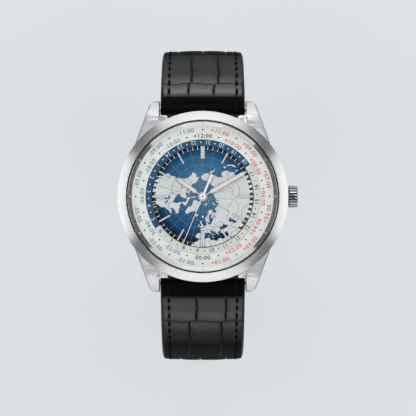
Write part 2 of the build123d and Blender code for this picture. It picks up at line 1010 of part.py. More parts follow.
save(
    baton_hand(
        hour_hand_length,
        hour_hand_width,
        hour_hand_neck,
        hour_hand_z,
        hour_pipe_radius,
        hour_angle,
    ),
    "hour_hand",
)
save(
    baton_hand(
        minute_hand_length,
        minute_hand_width,
        minute_hand_neck,
        minute_hand_z,
        cannon_pipe_radius,
        minute_angle,
    ),
    "minute_hand",
)
with BuildPart() as seconds:
    with BuildSketch(Plane.XY):
        with BuildLine():
            Polyline(
                (-seconds_width / 2, 0),
                (-seconds_width / 2, seconds_length),
                (seconds_width / 2, seconds_length),
                (seconds_width / 2, 0),
                (seconds_tail_width / 2, -seconds_tail),
                (-seconds_tail_width / 2, -seconds_tail),
                close=True,
            )
        make_face()
        Circle(seconds_hub_radius)
        Circle(arbor_radius, mode=Mode.SUBTRACT)
    extrude(amount=seconds_thickness)
seconds_turn = Location((0, 0, seconds_z), (0, 0, -seconds_angle))
save(seconds.part.moved(seconds_turn), "seconds_hand")

# Motion work: cannon pinion, minute wheel, hour wheel, ring drive and setting wheel
cannon_phase = 0.0
minute_phase = meshed(centre, cannon_teeth, cannon_phase, minute_centre, minute_wheel_teeth)
minute_pinion_phase = 0.0
hour_phase = meshed(minute_centre, minute_pinion_teeth, minute_pinion_phase, centre, hour_wheel_teeth)
drive_phase = meshed(
    minute_centre, minute_wheel_teeth, minute_phase, drive_centre, drive_wheel_teeth
)
drive_pinion_phase = meshed_inside(day_ring_teeth, 0.0, drive_centre, drive_pinion_teeth)
setting_phase = meshed(
    minute_centre, minute_wheel_teeth, minute_phase, setting_centre, setting_teeth
)
save(
    joined(
        gear(
            cannon_teeth,
            motion_module,
            cannon_phase,
            centre,
            motion_z,
            motion_thickness,
            cannon_bore,
        ),
        tube(centre, motion_z, minute_hand_z + hand_thickness, cannon_pipe_radius, cannon_bore),
    ),
    "cannon_pinion",
)
motion_top_z = motion_z + motion_thickness
save(
    joined(
        gear(
            minute_wheel_teeth,
            motion_module,
            minute_phase,
            minute_centre,
            motion_z,
            motion_thickness,
        ),
        gear(
            minute_pinion_teeth,
            hour_module,
            minute_pinion_phase,
            minute_centre,
            motion_top_z,
            minute_pinion_high_z - motion_top_z,
        ),
        turned(minute_centre, ((motion_pivot_low_z, motion_z, motion_post_radius),)),
    ),
    "minute_wheel",
)
save(
    joined(
        gear(
            hour_wheel_teeth,
            hour_module,
            hour_phase,
            centre,
            hour_wheel_z,
            hour_wheel_thickness,
            hour_pipe_bore,
        ),
        tube(centre, hour_wheel_z, hour_hand_z + hand_thickness, hour_pipe_radius, hour_pipe_bore),
    ),
    "hour_wheel",
)
save(
    joined(
        gear(
            drive_wheel_teeth,
            motion_module,
            drive_phase,
            drive_centre,
            motion_z,
            motion_thickness,
        ),
        gear(
            drive_pinion_teeth,
            ring_module,
            drive_pinion_phase,
            drive_centre,
            drive_pinion_z,
            drive_pinion_height,
        ),
        turned(drive_centre, ((motion_pivot_low_z, drive_pinion_z, motion_post_radius),)),
    ),
    "ring_drive_wheel",
)
save(
    joined(
        gear(
            setting_teeth,
            motion_module,
            setting_phase,
            setting_centre,
            motion_z,
            motion_thickness,
        ),
        turned(setting_centre, ((motion_pivot_low_z, motion_z, motion_post_radius),)),
    ),
    "setting_wheel",
)

# Main plate, with the pillars that carry the bridges and the centre tube
all_screws = (
    barrel_bridge_screws + train_bridge_screws + winding_bridge_screws + balance_cock_screws
)
bridge_top_z = bridge_bottom_z + bridge_thickness
plate_pivots = (second_centre, third_centre, escape_centre, balance_centre, pallet_centre)
train_bridge_pivots = (third_centre, escape_centre)
barrel_bridge_pivots = (second_centre,)
pallet_foot = on_bearing(pallet_cock_reach, lever_line + 90, pallet_centre)
pallet_other_foot = on_bearing(pallet_cock_reach, lever_line - 90, pallet_centre)
lever_pivot = (groove_x + crown_pull / 2, lever_pivot_y)
yoke_pivot = (sliding_pinion_x - crown_pull * sliding_share / 2, yoke_pivot_y)
with BuildPart() as main_plate:
    with BuildSketch(Plane.XY.offset(plate_bottom_z)):
        Circle(movement_radius)
        with Locations(centre):
            Circle(centre_tube_bore, mode=Mode.SUBTRACT)
    extrude(amount=plate_top_z - plate_bottom_z)
    with BuildSketch(Plane.XY.offset(bridge_top_z)):
        with Locations(*all_screws):
            Circle(pillar_radius)
    extrude(amount=plate_bottom_z - bridge_top_z)
    with BuildSketch(Plane.XY.offset(plate_top_z)):
        Circle(centre_tube_radius)
        Circle(centre_tube_bore, mode=Mode.SUBTRACT)
    extrude(amount=minute_hand_z - plate_top_z)
    with BuildSketch(Plane.XY.offset(bridge_top_z)):
        with Locations(*all_screws):
            Circle(screw_shank_recess)
    extrude(amount=screw_shank_high_z - bridge_top_z, mode=Mode.SUBTRACT)
    with BuildSketch(Plane.XY.offset(plate_bottom_z)):
        with Locations(*plate_pivots):
            Circle(jewel_radius)
        with Locations(barrel_centre):
            Circle(barrel_arbor_radius + barrel_arbor_clearance)
    extrude(amount=plate_jewel_z + jewel_thickness - plate_bottom_z, mode=Mode.SUBTRACT)
    with BuildSketch(Plane.XY.offset(plate_bottom_z)):
        with Locations((keyless_slot_inner_x, 0)):
            Rectangle(
                movement_radius,
                2 * keyless_slot_half_width,
                align=(Align.MIN, Align.CENTER),
            )
    extrude(amount=keyless_slot_top_z - plate_bottom_z, mode=Mode.SUBTRACT)
    with BuildSketch(Plane.XY.offset(motion_pivot_low_z)):
        with Locations(minute_centre, drive_centre, setting_centre):
            Circle(motion_post_radius + ring_gap)
    extrude(amount=plate_top_z - motion_pivot_low_z, mode=Mode.SUBTRACT)
    with BuildSketch(Plane.XY.offset(yoke_z)):
        with Locations(lever_pivot, yoke_pivot):
            Circle(lever_post_radius)
    extrude(amount=plate_bottom_z - yoke_z)
    with BuildSketch(Plane.XY.offset(lever_z)):
        with Locations(lever_pivot):
            Circle(lever_post_radius)
    extrude(amount=yoke_z - lever_z)
save(main_plate.part, "main_plate")

with BuildPart() as cover:
    with BuildSketch(Plane.XY.offset(cover_bottom_z)):
        Circle(cover_radius)
        Circle(hour_pipe_radius + ring_gap, mode=Mode.SUBTRACT)
        with Locations(drive_centre):
            Circle(
                pitch_radius(drive_pinion_teeth, ring_module) + 2 * ring_module,
                mode=Mode.SUBTRACT,
            )
    extrude(amount=dial_bottom_z - cover_bottom_z)
    with BuildSketch(Plane.XY.offset(plate_top_z)):
        with Locations(*cover_pillars):
            Circle(cover_pillar_radius)
    extrude(amount=cover_bottom_z - plate_top_z)
save(cover.part, "motion_cover")


# Bridges
def bridge(outline, screws, head=None, pivots=()):
    """A bridge cut from the movement's disc, with screw holes and jewel holes."""
    with BuildPart() as body:
        with BuildSketch(Plane.XY.offset(bridge_bottom_z)):
            with BuildLine():
                Polyline(*outline, close=True)
            make_face()
            if head:
                with Locations(head):
                    Circle(balance_cock_head)
            Circle(bridge_radius, mode=Mode.INTERSECT)
        extrude(amount=bridge_thickness)
        with BuildSketch(Plane.XY.offset(bridge_bottom_z)):
            with Locations(*screws):
                Circle(screw_head_recess)
        extrude(amount=screw_head_high_z - bridge_bottom_z, mode=Mode.SUBTRACT)
        with BuildSketch(Plane.XY.offset(bridge_bottom_z)):
            with Locations(*screws):
                Circle(screw_shank_recess)
            if pivots:
                with Locations(*pivots):
                    Circle(jewel_radius)
        extrude(amount=bridge_thickness, mode=Mode.SUBTRACT)
    return body.part


train_bridge_blank = bridge(
    train_bridge_outline, train_bridge_screws, pivots=train_bridge_pivots
)
with BuildPart() as train_bridge:
    add(train_bridge_blank)
    with BuildSketch(Plane.XY.offset(bridge_bottom_z + bridge_gap)):
        Circle(arbor_radius + ring_gap)
    extrude(amount=bridge_thickness - bridge_gap, mode=Mode.SUBTRACT)
    with BuildSketch(Plane.XY.offset(rotor_cap_high_z)):
        Circle(rotor_post_radius)
    extrude(amount=bridge_bottom_z - rotor_cap_high_z)
    with BuildSketch(Plane.XY.offset(rotor_cap_low_z)):
        Circle(rotor_cap_radius)
    extrude(amount=rotor_cap_high_z - rotor_cap_low_z)
save(train_bridge.part, "train_bridge")

barrel_bridge_blank = bridge(
    barrel_bridge_outline, barrel_bridge_screws, pivots=barrel_bridge_pivots
)
with BuildPart() as barrel_bridge:
    add(barrel_bridge_blank)
    with BuildSketch(Plane.XY.offset(bridge_bottom_z)):
        with Locations(barrel_centre):
            Circle(ratchet_pitch_radius + ratchet_module + recess_clearance)
        with Locations(crown_wheel_centre):
            Circle(crown_wheel_radius + ratchet_module + recess_clearance)
        with Locations(click_middle):
            Circle(click_recess_radius)
    extrude(amount=recess_depth, mode=Mode.SUBTRACT)
    with BuildSketch(Plane.XY.offset(bridge_bottom_z)):
        with Locations(barrel_centre):
            Circle(barrel_arbor_radius + barrel_arbor_clearance)
        with Locations((keyless_slot_inner_x, 0)):
            Rectangle(
                movement_radius,
                2 * keyless_slot_half_width,
                align=(Align.MIN, Align.CENTER),
            )
    extrude(amount=bridge_thickness, mode=Mode.SUBTRACT)
    with BuildSketch(Plane.XY.offset(ratchet_z)):
        with Locations(crown_wheel_centre):
            Circle(ratchet_square_radius)
        with Locations(click_pivot):
            Circle(click_post_radius)
    extrude(amount=bridge_bottom_z + recess_depth - ratchet_z)
save(barrel_bridge.part, "barrel_bridge")
save(bridge(winding_bridge_outline, winding_bridge_screws), "winding_bridge")
stud_reach = hairspring_inner + hairspring_turns * hairspring_pitch + hairspring_width / 2
stud_place = (balance_centre[0] + stud_reach, balance_centre[1])
balance_cock_blank = bridge(
    balance_cock_outline, balance_cock_screws, balance_centre, (balance_centre,)
)
with BuildPart() as balance_cock:
    add(balance_cock_blank)
    with BuildSketch(Plane.XY.offset(bridge_bottom_z + bridge_gap)):
        with Locations((balance_centre[0] + jewel_radius, balance_centre[1])):
            Rectangle(
                stud_reach - jewel_radius + stud_arm_overhang,
                stud_arm_width,
                align=(Align.MIN, Align.CENTER),
            )
    extrude(amount=bridge_thickness - bridge_gap)
    with BuildSketch(Plane.XY.offset(bridge_top_z)):
        with Locations(stud_place):
            Circle(stud_radius)
    extrude(amount=hairspring_z - bridge_top_z)
save(balance_cock.part, "balance_cock")

with BuildPart() as bridge_screws:
    with BuildSketch(Plane.XY.offset(screw_head_low_z)):
        with Locations(*all_screws):
            Circle(screw_head_radius)
    extrude(amount=screw_head_high_z - screw_head_low_z)
    with BuildSketch(Plane.XY.offset(screw_head_high_z)):
        with Locations(*all_screws):
            Circle(screw_shank_radius)
    extrude(amount=screw_shank_high_z - screw_head_high_z)
    with BuildSketch(Plane.XY.offset(screw_head_low_z)):
        with Locations(*all_screws):
            Rectangle(2 * screw_head_radius, screw_slot_width)
    extrude(amount=screw_slot_depth, mode=Mode.SUBTRACT)
save(bridge_screws.part, "bridge_screws")

with BuildPart() as jewels:
    for low, places in (
        (bridge_jewel_z, train_bridge_pivots + barrel_bridge_pivots + (balance_centre,)),
        (plate_jewel_z, plate_pivots),
        (pallet_cock_z, (pallet_centre,)),
    ):
        with BuildSketch(Plane.XY.offset(low)):
            with Locations(*places):
                Circle(jewel_radius)
                Circle(jewel_hole_radius, mode=Mode.SUBTRACT)
        extrude(amount=jewel_thickness)
save(jewels.part, "jewels")

with BuildPart() as pallet_cock:
    with BuildSketch(Plane.XY.offset(pallet_cock_z)):
        with Locations(Location((*pallet_centre, 0), (0, 0, lever_line + 90))):
            SlotCenterToCenter(2 * pallet_cock_reach, pallet_cock_width)
        with Locations(pallet_centre):
            Circle(jewel_radius, mode=Mode.SUBTRACT)
    extrude(amount=pallet_cock_thickness)
    with BuildSketch(Plane.XY.offset(pallet_cock_z + pallet_cock_thickness)):
        with Locations(pallet_foot, pallet_other_foot):
            Circle(pallet_cock_pillar)
    extrude(amount=plate_bottom_z - pallet_cock_z - pallet_cock_thickness)
save(pallet_cock.part, "pallet_cock")

# Going train
third_phase = 0.0
fourth_pinion_phase = meshed(
    third_centre, third_teeth, third_phase, centre, fourth_pinion_teeth
)
fourth_phase = fourth_pinion_phase
escape_pinion_phase = meshed(
    centre, fourth_teeth, fourth_phase, escape_centre, escape_pinion_teeth
)
third_pinion_phase = third_phase
second_phase = meshed(
    third_centre, third_pinion_teeth, third_pinion_phase, second_centre, second_teeth
)
second_pinion_phase = second_phase
barrel_phase = meshed(
    second_centre, second_pinion_teeth, second_pinion_phase, barrel_centre, barrel_teeth
)
bridge_arbor_z = bridge_jewel_z + jewel_thickness + jewel_sink
plate_arbor_z = plate_jewel_z - jewel_sink
spoke_count = 4
arbor_steps = (
    (bridge_jewel_z + jewel_sink, bridge_arbor_z, pivot_radius),
    (bridge_arbor_z, plate_arbor_z, arbor_radius),
    (plate_arbor_z, plate_jewel_z + jewel_thickness - jewel_sink, pivot_radius),
)


def train_wheel(teeth, module, phase, place, wheel_z, pinion, pinion_module, pinion_z, steps):
    """A spoked wheel, its pinion and their arbor."""
    wheel = gear(teeth, module, phase, place, wheel_z, wheel_thickness, spokes=spoke_count)
    phase_there = phase_of_pinion[pinion]
    small = gear(pinion, pinion_module, phase_there, place, pinion_z, pinion_height)
    return joined(wheel, small, turned(place, steps))


phase_of_pinion = {
    second_pinion_teeth: second_pinion_phase,
    third_pinion_teeth: third_pinion_phase,
    fourth_pinion_teeth: fourth_pinion_phase,
    escape_pinion_teeth: escape_pinion_phase,
}
second_pinion_z = barrel_z - ring_gap
third_pinion_z = second_wheel_z - 2 * ring_gap
fourth_pinion_z = third_wheel_z - ring_gap
escape_pinion_z = fourth_wheel_z - 2 * ring_gap
save(
    train_wheel(
        second_teeth,
        second_module,
        second_phase,
        second_centre,
        second_wheel_z,
        second_pinion_teeth,
        barrel_module,
        second_pinion_z,
        arbor_steps,
    ),
    "second_wheel",
)
save(
    train_wheel(
        third_teeth,
        third_module,
        third_phase,
        third_centre,
        third_wheel_z,
        third_pinion_teeth,
        second_module,
        third_pinion_z,
        arbor_steps,
    ),
    "third_wheel",
)
fourth_steps = (
    (bridge_bottom_z + bridge_gap + jewel_sink, seconds_z + seconds_thickness, arbor_radius),
)
save(
    train_wheel(
        fourth_teeth,
        fourth_module,
        fourth_phase,
        centre,
        fourth_wheel_z,
        fourth_pinion_teeth,
        third_module,
        fourth_pinion_z,
        fourth_steps,
    ),
    "fourth_wheel",
)
tooth_pitch = 360 / escape_teeth
escape_shape = []
for tooth in range(escape_teeth):
    for radius, share in (
        (escape_radius * escape_root_share, 0),
        (escape_radius, escape_tip_share),
        (escape_radius * escape_root_share, escape_back_share),
    ):
        escape_shape.append(on_bearing(radius, tooth_pitch * (tooth + share), escape_centre))
with BuildPart() as escape_rim:
    with BuildSketch(Plane.XY.offset(escape_wheel_z)):
        with BuildLine():
            Polyline(*escape_shape, close=True)
        make_face()
        with Locations(escape_centre):
            Circle(escape_radius * escape_root_share - wheel_rim_width / 2, mode=Mode.SUBTRACT)
            Circle(wheel_hub_radius)
            with PolarLocations(0, spoke_count):
                Rectangle(
                    escape_radius * escape_root_share - wheel_rim_width / 4,
                    wheel_rim_width / 2,
                    align=(Align.MIN, Align.CENTER),
                )
    extrude(amount=wheel_thickness)
save(
    joined(
        escape_rim.part,
        gear(
            escape_pinion_teeth,
            fourth_module,
            escape_pinion_phase,
            escape_centre,
            escape_pinion_z,
            pinion_height,
        ),
        turned(escape_centre, arbor_steps),
    ),
    "escape_wheel",
)

# Pallet fork: its own frame has the escape wheel at one end and the balance at the other
fork_run = lever_run * (1 - pallet_share)
fork_reach = fork_run - roller_pin_at + roller_pin_radius + ring_gap
pallet_frame = Location((*pallet_centre, pallet_z), (0, 0, lever_line))
stone_places = []
for side in (-1, 1):
    tip = on_bearing(escape_radius + stone_tip, side * stone_angle)
    outer = on_bearing(escape_radius + stone_tip + stone_length, side * stone_angle)
    stone_places.append((tip, outer, side))
with BuildPart() as pallet:
    with BuildSketch(Plane.XY):
        Circle(fork_hub_radius)
        Rectangle(fork_reach - fork_end_length / 2, pallet_arm_width, align=(Align.MIN, Align.CENTER))
        with Locations((fork_reach, 0)):
            Rectangle(fork_end_length, fork_end_width, align=(Align.MAX, Align.CENTER))
            Rectangle(
                2 * fork_slot_depth,
                fork_slot,
                align=(Align.CENTER, Align.CENTER),
                mode=Mode.SUBTRACT,
            )
        for tip, outer, side in stone_places:
            arm_end = (outer[0] - lever_run * pallet_share, outer[1])
            arm_length = distance_of(centre, arm_end)
            arm_line = bearing_of(centre, arm_end)
            with Locations(Location((0, 0, 0), (0, 0, arm_line))):
                Rectangle(arm_length, pallet_arm_width, align=(Align.MIN, Align.CENTER))
            middle = (
                (tip[0] + outer[0]) / 2 - lever_run * pallet_share,
                (tip[1] + outer[1]) / 2,
            )
            with Locations(Location((*middle, 0), (0, 0, side * stone_angle))):
                Rectangle(stone_length, stone_width)
    extrude(amount=pallet_thickness)
pallet_arbor = turned(
    pallet_centre,
    (
        (pallet_cock_z + jewel_sink, pallet_cock_z + jewel_thickness, pivot_radius),
        (pallet_cock_z + jewel_thickness, plate_arbor_z, arbor_radius),
        (plate_arbor_z, plate_jewel_z + jewel_thickness - jewel_sink, pivot_radius),
    ),
)
save(joined(pallet.part.moved(pallet_frame), pallet_arbor), "pallet_fork")

# Balance, roller and hairspring
with BuildPart() as balance:
    with BuildSketch(Plane.XY.offset(balance_rim_z)):
        with Locations(balance_centre):
            Circle(balance_radius)
            Circle(balance_radius - balance_rim_width, mode=Mode.SUBTRACT)
            Circle(balance_hub_radius)
            Rectangle(2 * balance_radius - balance_rim_width, balance_arm_width)
    extrude(amount=balance_rim_height)
    for number in range(balance_screw_count):
        line = 360 * (number + escape_back_share) / balance_screw_count
        start = on_bearing(balance_radius - balance_rim_width / 2, line, balance_centre)
        screw_plane = Plane(
            origin=(*start, balance_rim_z + balance_rim_height / 2),
            z_dir=(cos(radians(line)), sin(radians(line)), 0),
        )
        with BuildSketch(screw_plane):
            Circle(balance_screw_radius - jewel_sink)
        extrude(amount=balance_rim_width / 2 + balance_screw_length)
    with BuildSketch(Plane.XY.offset(roller_z)):
        with Locations(balance_centre):
            Circle(roller_radius)
    extrude(amount=roller_thickness)
    pin_place = on_bearing(roller_pin_at, lever_line + 180, balance_centre)
    with BuildSketch(Plane.XY.offset(roller_z)):
        with Locations(pin_place):
            Circle(roller_pin_radius)
    extrude(amount=roller_pin_top_z - roller_z)
    with BuildSketch(Plane.XY.offset(hairspring_z)):
        with Locations(balance_centre):
            Circle(collet_radius)
    extrude(amount=collet_height)
save(joined(balance.part, turned(balance_centre, arbor_steps)), "balance_wheel")


def spiral(place, low, height, inner, pitch, width, turns):
    """A flat spiral band of half turns, each a true arc."""
    inside = []
    outside = []
    for half in range(2 * turns + 1):
        side = 1 if half % 2 == 0 else -1
        inside.append((place[0] + side * (inner + half * pitch / 2), place[1]))
        outside.append((place[0] + side * (inner + half * pitch / 2 + width), place[1]))
    with BuildPart() as band:
        with BuildSketch(Plane.XY.offset(low)):
            with BuildLine():
                for points in (inside, outside):
                    for half in range(2 * turns):
                        start, end = points[half], points[half + 1]
                        side = 1 if half % 2 == 0 else -1
                        middle = (
                            (start[0] + end[0]) / 2,
                            place[1] + side * abs(start[0] - end[0]) / 2,
                        )
                        ThreePointArc(start, middle, end)
                Line(inside[0], outside[0])
                Line(inside[-1], outside[-1])
            make_face()
        extrude(amount=height)
    return band.part


save(
    spiral(
        balance_centre,
        hairspring_z,
        hairspring_height,
        hairspring_inner,
        hairspring_pitch,
        hairspring_width,
        hairspring_turns,
    ),
    "hairspring",
)

# Barrel, mainspring, arbor and ratchet
barrel_gear = gear(
    barrel_teeth, barrel_module, barrel_phase, barrel_centre, barrel_z, barrel_tooth_height
)
with BuildPart() as barrel:
    add(barrel_gear)
    with BuildSketch(Plane.XY.offset(barrel_z + barrel_tooth_height)):
        with Locations(barrel_centre):
            Circle(barrel_drum_radius)
    extrude(amount=barrel_height - barrel_tooth_height)
    with BuildSketch(Plane.XY.offset(barrel_z + barrel_floor)):
        with Locations(barrel_centre):
            Circle(barrel_drum_radius - barrel_wall)
    extrude(amount=barrel_height - 2 * barrel_floor, mode=Mode.SUBTRACT)
    with BuildSketch(Plane.XY.offset(barrel_z)):
        with Locations(barrel_centre):
            Circle(barrel_arbor_radius + barrel_arbor_clearance)
    extrude(amount=barrel_height, mode=Mode.SUBTRACT)
save(barrel.part, "barrel")
save(
    spiral(
        barrel_centre,
        barrel_z + 2 * barrel_floor,
        barrel_height - 4 * barrel_floor,
        mainspring_inner,
        mainspring_pitch,
        mainspring_width,
        mainspring_turns,
    ),
    "mainspring",
)
save(
    turned(
        barrel_centre,
        (
            (ratchet_z - wheel_screw_height, ratchet_z + ratchet_thickness, ratchet_square_radius),
            (ratchet_z + ratchet_thickness, plate_jewel_z, barrel_arbor_radius),
        ),
    ),
    "barrel_arbor",
)
crown_wheel_phase = 0.0
ratchet_phase = meshed(
    crown_wheel_centre, crown_wheel_teeth, crown_wheel_phase, barrel_centre, ratchet_teeth
)
save(
    gear(
        ratchet_teeth,
        ratchet_module,
        ratchet_phase,
        barrel_centre,
        ratchet_z,
        ratchet_thickness,
        ratchet_square_radius,
    ),
    "ratchet_wheel",
)
across = bearing_of(click_pivot, click_beak) + 90
with BuildPart() as click:
    with BuildSketch(Plane.XY.offset(ratchet_z)):
        with BuildLine():
            Polyline(
                on_bearing(click_radius, across, click_pivot),
                on_bearing(click_beak_radius, across, click_beak),
                on_bearing(-click_beak_radius, across, click_beak),
                on_bearing(-click_radius, across, click_pivot),
                close=True,
            )
        make_face()
        with Locations(click_pivot):
            Circle(click_radius)
            Circle(click_post_radius + ring_gap, mode=Mode.SUBTRACT)
    extrude(amount=click_thickness)
save(click.part, "click")
save(
    gear(
        crown_wheel_teeth,
        crown_wheel_module,
        crown_wheel_phase,
        crown_wheel_centre,
        ratchet_z,
        ratchet_thickness,
        ratchet_square_radius + pinion_bore_clearance,
    ),
    "crown_wheel",
)

# Winding stem, its pinions, the crown and the tube
stem_plane = Plane.YZ


def along_stem(steps):
    """Cylinders along the stem's line, from (start, end, radius) steps."""
    with BuildPart() as body:
        for start, end, radius in steps:
            with BuildSketch(stem_plane.offset(start)):
                with Locations((0, stem_z)):
                    Circle(radius)
            extrude(amount=end - start)
    return body.part


stem = along_stem(
    (
        (stem_tip_x, groove_x - groove_width / 2, stem_radius),
        (groove_x - groove_width / 2, groove_x + groove_width / 2, groove_radius),
        (groove_x + groove_width / 2, crown_inner_x + crown_socket_depth, stem_radius),
    )
)
save(stem, "winding_stem")
winding_blank = along_stem(
    (
        (
            winding_pinion_x - winding_pinion_width / 2,
            winding_pinion_x + winding_pinion_width / 2,
            winding_pinion_radius,
        ),
    )
)
with BuildPart() as winding:
    add(winding_blank)
    with BuildSketch(stem_plane.offset(winding_pinion_x - winding_pinion_width / 2)):
        with Locations((0, stem_z)):
            Circle(stem_radius + pinion_bore_clearance)
        with Locations(Location((0, stem_z, 0))):
            with PolarLocations(winding_pinion_radius, winding_pinion_teeth):
                Rectangle(2 * winding_tooth_depth, winding_tooth_depth)
    extrude(amount=winding_pinion_width, mode=Mode.SUBTRACT)
save(winding.part, "winding_pinion")
sliding_start = sliding_pinion_x - sliding_pinion_width / 2
sliding_blank = along_stem(
    (
        (sliding_start, sliding_pinion_x - sliding_pinion_groove / 2, sliding_pinion_radius),
        (
            sliding_pinion_x - sliding_pinion_groove / 2,
            sliding_pinion_x + sliding_pinion_groove / 2,
            sliding_groove_radius,
        ),
        (
            sliding_pinion_x + sliding_pinion_groove / 2,
            sliding_start + sliding_pinion_width,
            sliding_pinion_radius,
        ),
    )
)
with BuildPart() as sliding:
    add(sliding_blank)
    with BuildSketch(stem_plane.offset(sliding_start)):
        with Locations((0, stem_z)):
            Circle(stem_radius + pinion_bore_clearance)
    extrude(amount=sliding_pinion_width, mode=Mode.SUBTRACT)
save(sliding.part, "sliding_pinion")


def pivoted_lever(pivot, reach_point, low, thickness, pin_radius, pin_drop):
    """A lever from its post to a pin that drops into a groove beside the stem."""
    run = distance_of(pivot, reach_point)
    line = bearing_of(pivot, reach_point)
    with BuildPart() as body:
        with BuildSketch(Plane.XY.offset(low)):
            with Locations(pivot):
                Circle(lever_hub_radius)
            with Locations(reach_point):
                Circle(lever_width / 2)
            with Locations(Location((*pivot, 0), (0, 0, line))):
                Rectangle(run, lever_width, align=(Align.MIN, Align.CENTER))
            with Locations(pivot):
                Circle(lever_post_radius + ring_gap, mode=Mode.SUBTRACT)
        extrude(amount=thickness)
        with BuildSketch(Plane.XY.offset(low - pin_drop)):
            with Locations(reach_point):
                Circle(pin_radius)
        extrude(amount=pin_drop)
    return body.part


save(
    pivoted_lever(
        lever_pivot, (groove_x, 0), lever_z, lever_thickness, lever_pin_radius, lever_pin_drop
    ),
    "setting_lever",
)
save(
    pivoted_lever(
        yoke_pivot,
        (sliding_pinion_x, 0),
        yoke_z,
        yoke_thickness,
        yoke_finger_radius,
        yoke_finger_drop,
    ),
    "yoke",
)

with BuildPart() as crown:
    with BuildSketch(stem_plane.offset(crown_inner_x)):
        with Locations((0, stem_z)):
            Circle(crown_radius)
    extrude(amount=crown_length)
    rim_edges = crown.edges().filter_by(GeomType.CIRCLE)
    chamfer(rim_edges, length=crown_rim)
    with BuildSketch(stem_plane.offset(crown_inner_x)):
        with Locations(Location((0, stem_z, 0))):
            with PolarLocations(crown_radius, crown_flutes):
                Circle(crown_flute_radius)
    extrude(amount=crown_length, mode=Mode.SUBTRACT)
    with BuildSketch(stem_plane.offset(crown_inner_x)):
        with Locations((0, stem_z)):
            Circle(crown_socket_radius)
    extrude(amount=crown_socket_depth, mode=Mode.SUBTRACT)
save(crown.part, "crown")
tube_blank = along_stem(((tube_inner_x, tube_outer_x, tube_radius),))
with BuildPart() as crown_tube:
    add(tube_blank)
    with BuildSketch(stem_plane.offset(tube_inner_x)):
        with Locations((0, stem_z)):
            Circle(tube_bore_radius)
    extrude(amount=tube_outer_x - tube_inner_x, mode=Mode.SUBTRACT)
save(crown_tube.part, "crown_tube")
seal_blank = along_stem(((seal_x, seal_x + seal_width, seal_radius),))
with BuildPart() as crown_seal:
    add(seal_blank)
    with BuildSketch(stem_plane.offset(seal_x)):
        with Locations((0, stem_z)):
            Circle(seal_bore)
    extrude(amount=seal_width, mode=Mode.SUBTRACT)
save(crown_seal.part, "crown_seal")

# Rotor: a half disc with a heavy rim, hung on the train bridge's post
with BuildPart() as rotor:
    with BuildSketch(Plane.XY.offset(rotor_z)):
        Circle(rotor_radius)
        with Locations((0, rotor_hub_radius)):
            Rectangle(
                2 * rotor_radius,
                rotor_radius,
                align=(Align.CENTER, Align.MIN),
                mode=Mode.SUBTRACT,
            )
        with BuildLine():
            window_line = (270 - rotor_window_angle, 270 + rotor_window_angle)
            window_middle = 270
            ThreePointArc(
                on_bearing(rotor_window_outer, window_line[0]),
                on_bearing(rotor_window_outer, window_middle),
                on_bearing(rotor_window_outer, window_line[1]),
            )
            Line(
                on_bearing(rotor_window_outer, window_line[1]),
                on_bearing(rotor_window_inner, window_line[1]),
            )
            ThreePointArc(
                on_bearing(rotor_window_inner, window_line[1]),
                on_bearing(rotor_window_inner, window_middle),
                on_bearing(rotor_window_inner, window_line[0]),
            )
            Line(
                on_bearing(rotor_window_inner, window_line[0]),
                on_bearing(rotor_window_outer, window_line[0]),
            )
        make_face(mode=Mode.SUBTRACT)
        Circle(rotor_hub_radius)
        Circle(rotor_post_radius + rotor_running_gap, mode=Mode.SUBTRACT)
    extrude(amount=rotor_plate_thickness)
    with BuildSketch(Plane.XY.offset(rotor_z)):
        Circle(rotor_radius)
        Circle(rotor_radius - rotor_rim_width, mode=Mode.SUBTRACT)
        with Locations((0, 0)):
            Rectangle(
                2 * rotor_radius,
                rotor_radius,
                align=(Align.CENTER, Align.MIN),
                mode=Mode.SUBTRACT,
            )
    extrude(amount=rotor_rim_height)
save(rotor.part, "rotor")

# Spring bars
with BuildPart() as spring_bars:
    for along in (-1, 1):
        with BuildSketch(Plane.YZ.offset(-lug_width / 2)):
            with Locations((along * bar_y, bar_z)):
                Circle(bar_radius)
        extrude(amount=lug_width)
        with BuildSketch(Plane.YZ.offset(-lug_width / 2 - bar_tip_length + ring_gap)):
            with Locations((along * bar_y, bar_z)):
                Circle(bar_tip_radius)
        extrude(amount=lug_width + 2 * (bar_tip_length - ring_gap))
save(spring_bars.part, "spring_bars")

# Strap path: straight runs and arcs in the plane that halves the watch
upper_runs = (
    (upper_lead, 0),
    (upper_shoulder_radius * radians(90 - strap_drop_angle), upper_shoulder_radius),
    (upper_curl_radius * radians(upper_curl_angle), upper_curl_radius),
    (upper_length, 0),
)
lower_runs = (
    (lower_lead, 0),
    (lower_shoulder_radius * radians(90 - strap_drop_angle), lower_shoulder_radius),
    (lower_drop, 0),
    (lower_curl_radius * radians(90), lower_curl_radius),
    (lower_length, 0),
)


def strap_point(runs, side, travel):
    """The lining's place and heading (below the horizontal, radians) along a strap half."""
    heading = radians(strap_drop_angle)
    out = bar_y - strap_root_radius * sin(heading)
    high = bar_z - strap_root_radius * cos(heading)
    left = travel
    for run, bend in runs:
        step = min(left, run)
        if bend:
            turned_to = heading + step / bend
            out += bend * (sin(turned_to) - sin(heading))
            high += bend * (cos(turned_to) - cos(heading))
            heading = turned_to
        else:
            out += step * cos(heading)
            high -= step * sin(heading)
        left -= step
        if left <= 0:
            break
    return side * out, high, heading


def strap_plane(runs, side, travel):
    """The section plane there: X across the strap, Y out of its top face."""
    along, high, heading = strap_point(runs, side, travel)
    return Plane(
        origin=(0, along, high),
        x_dir=(1, 0, 0),
        z_dir=(0, -cos(heading), side * sin(heading)),
    )


def smooth(start, end, value):
    """A smooth step from zero to one."""
    share = min(max((value - start) / (end - start), 0), 1)
    return share * share * (3 - 2 * share)


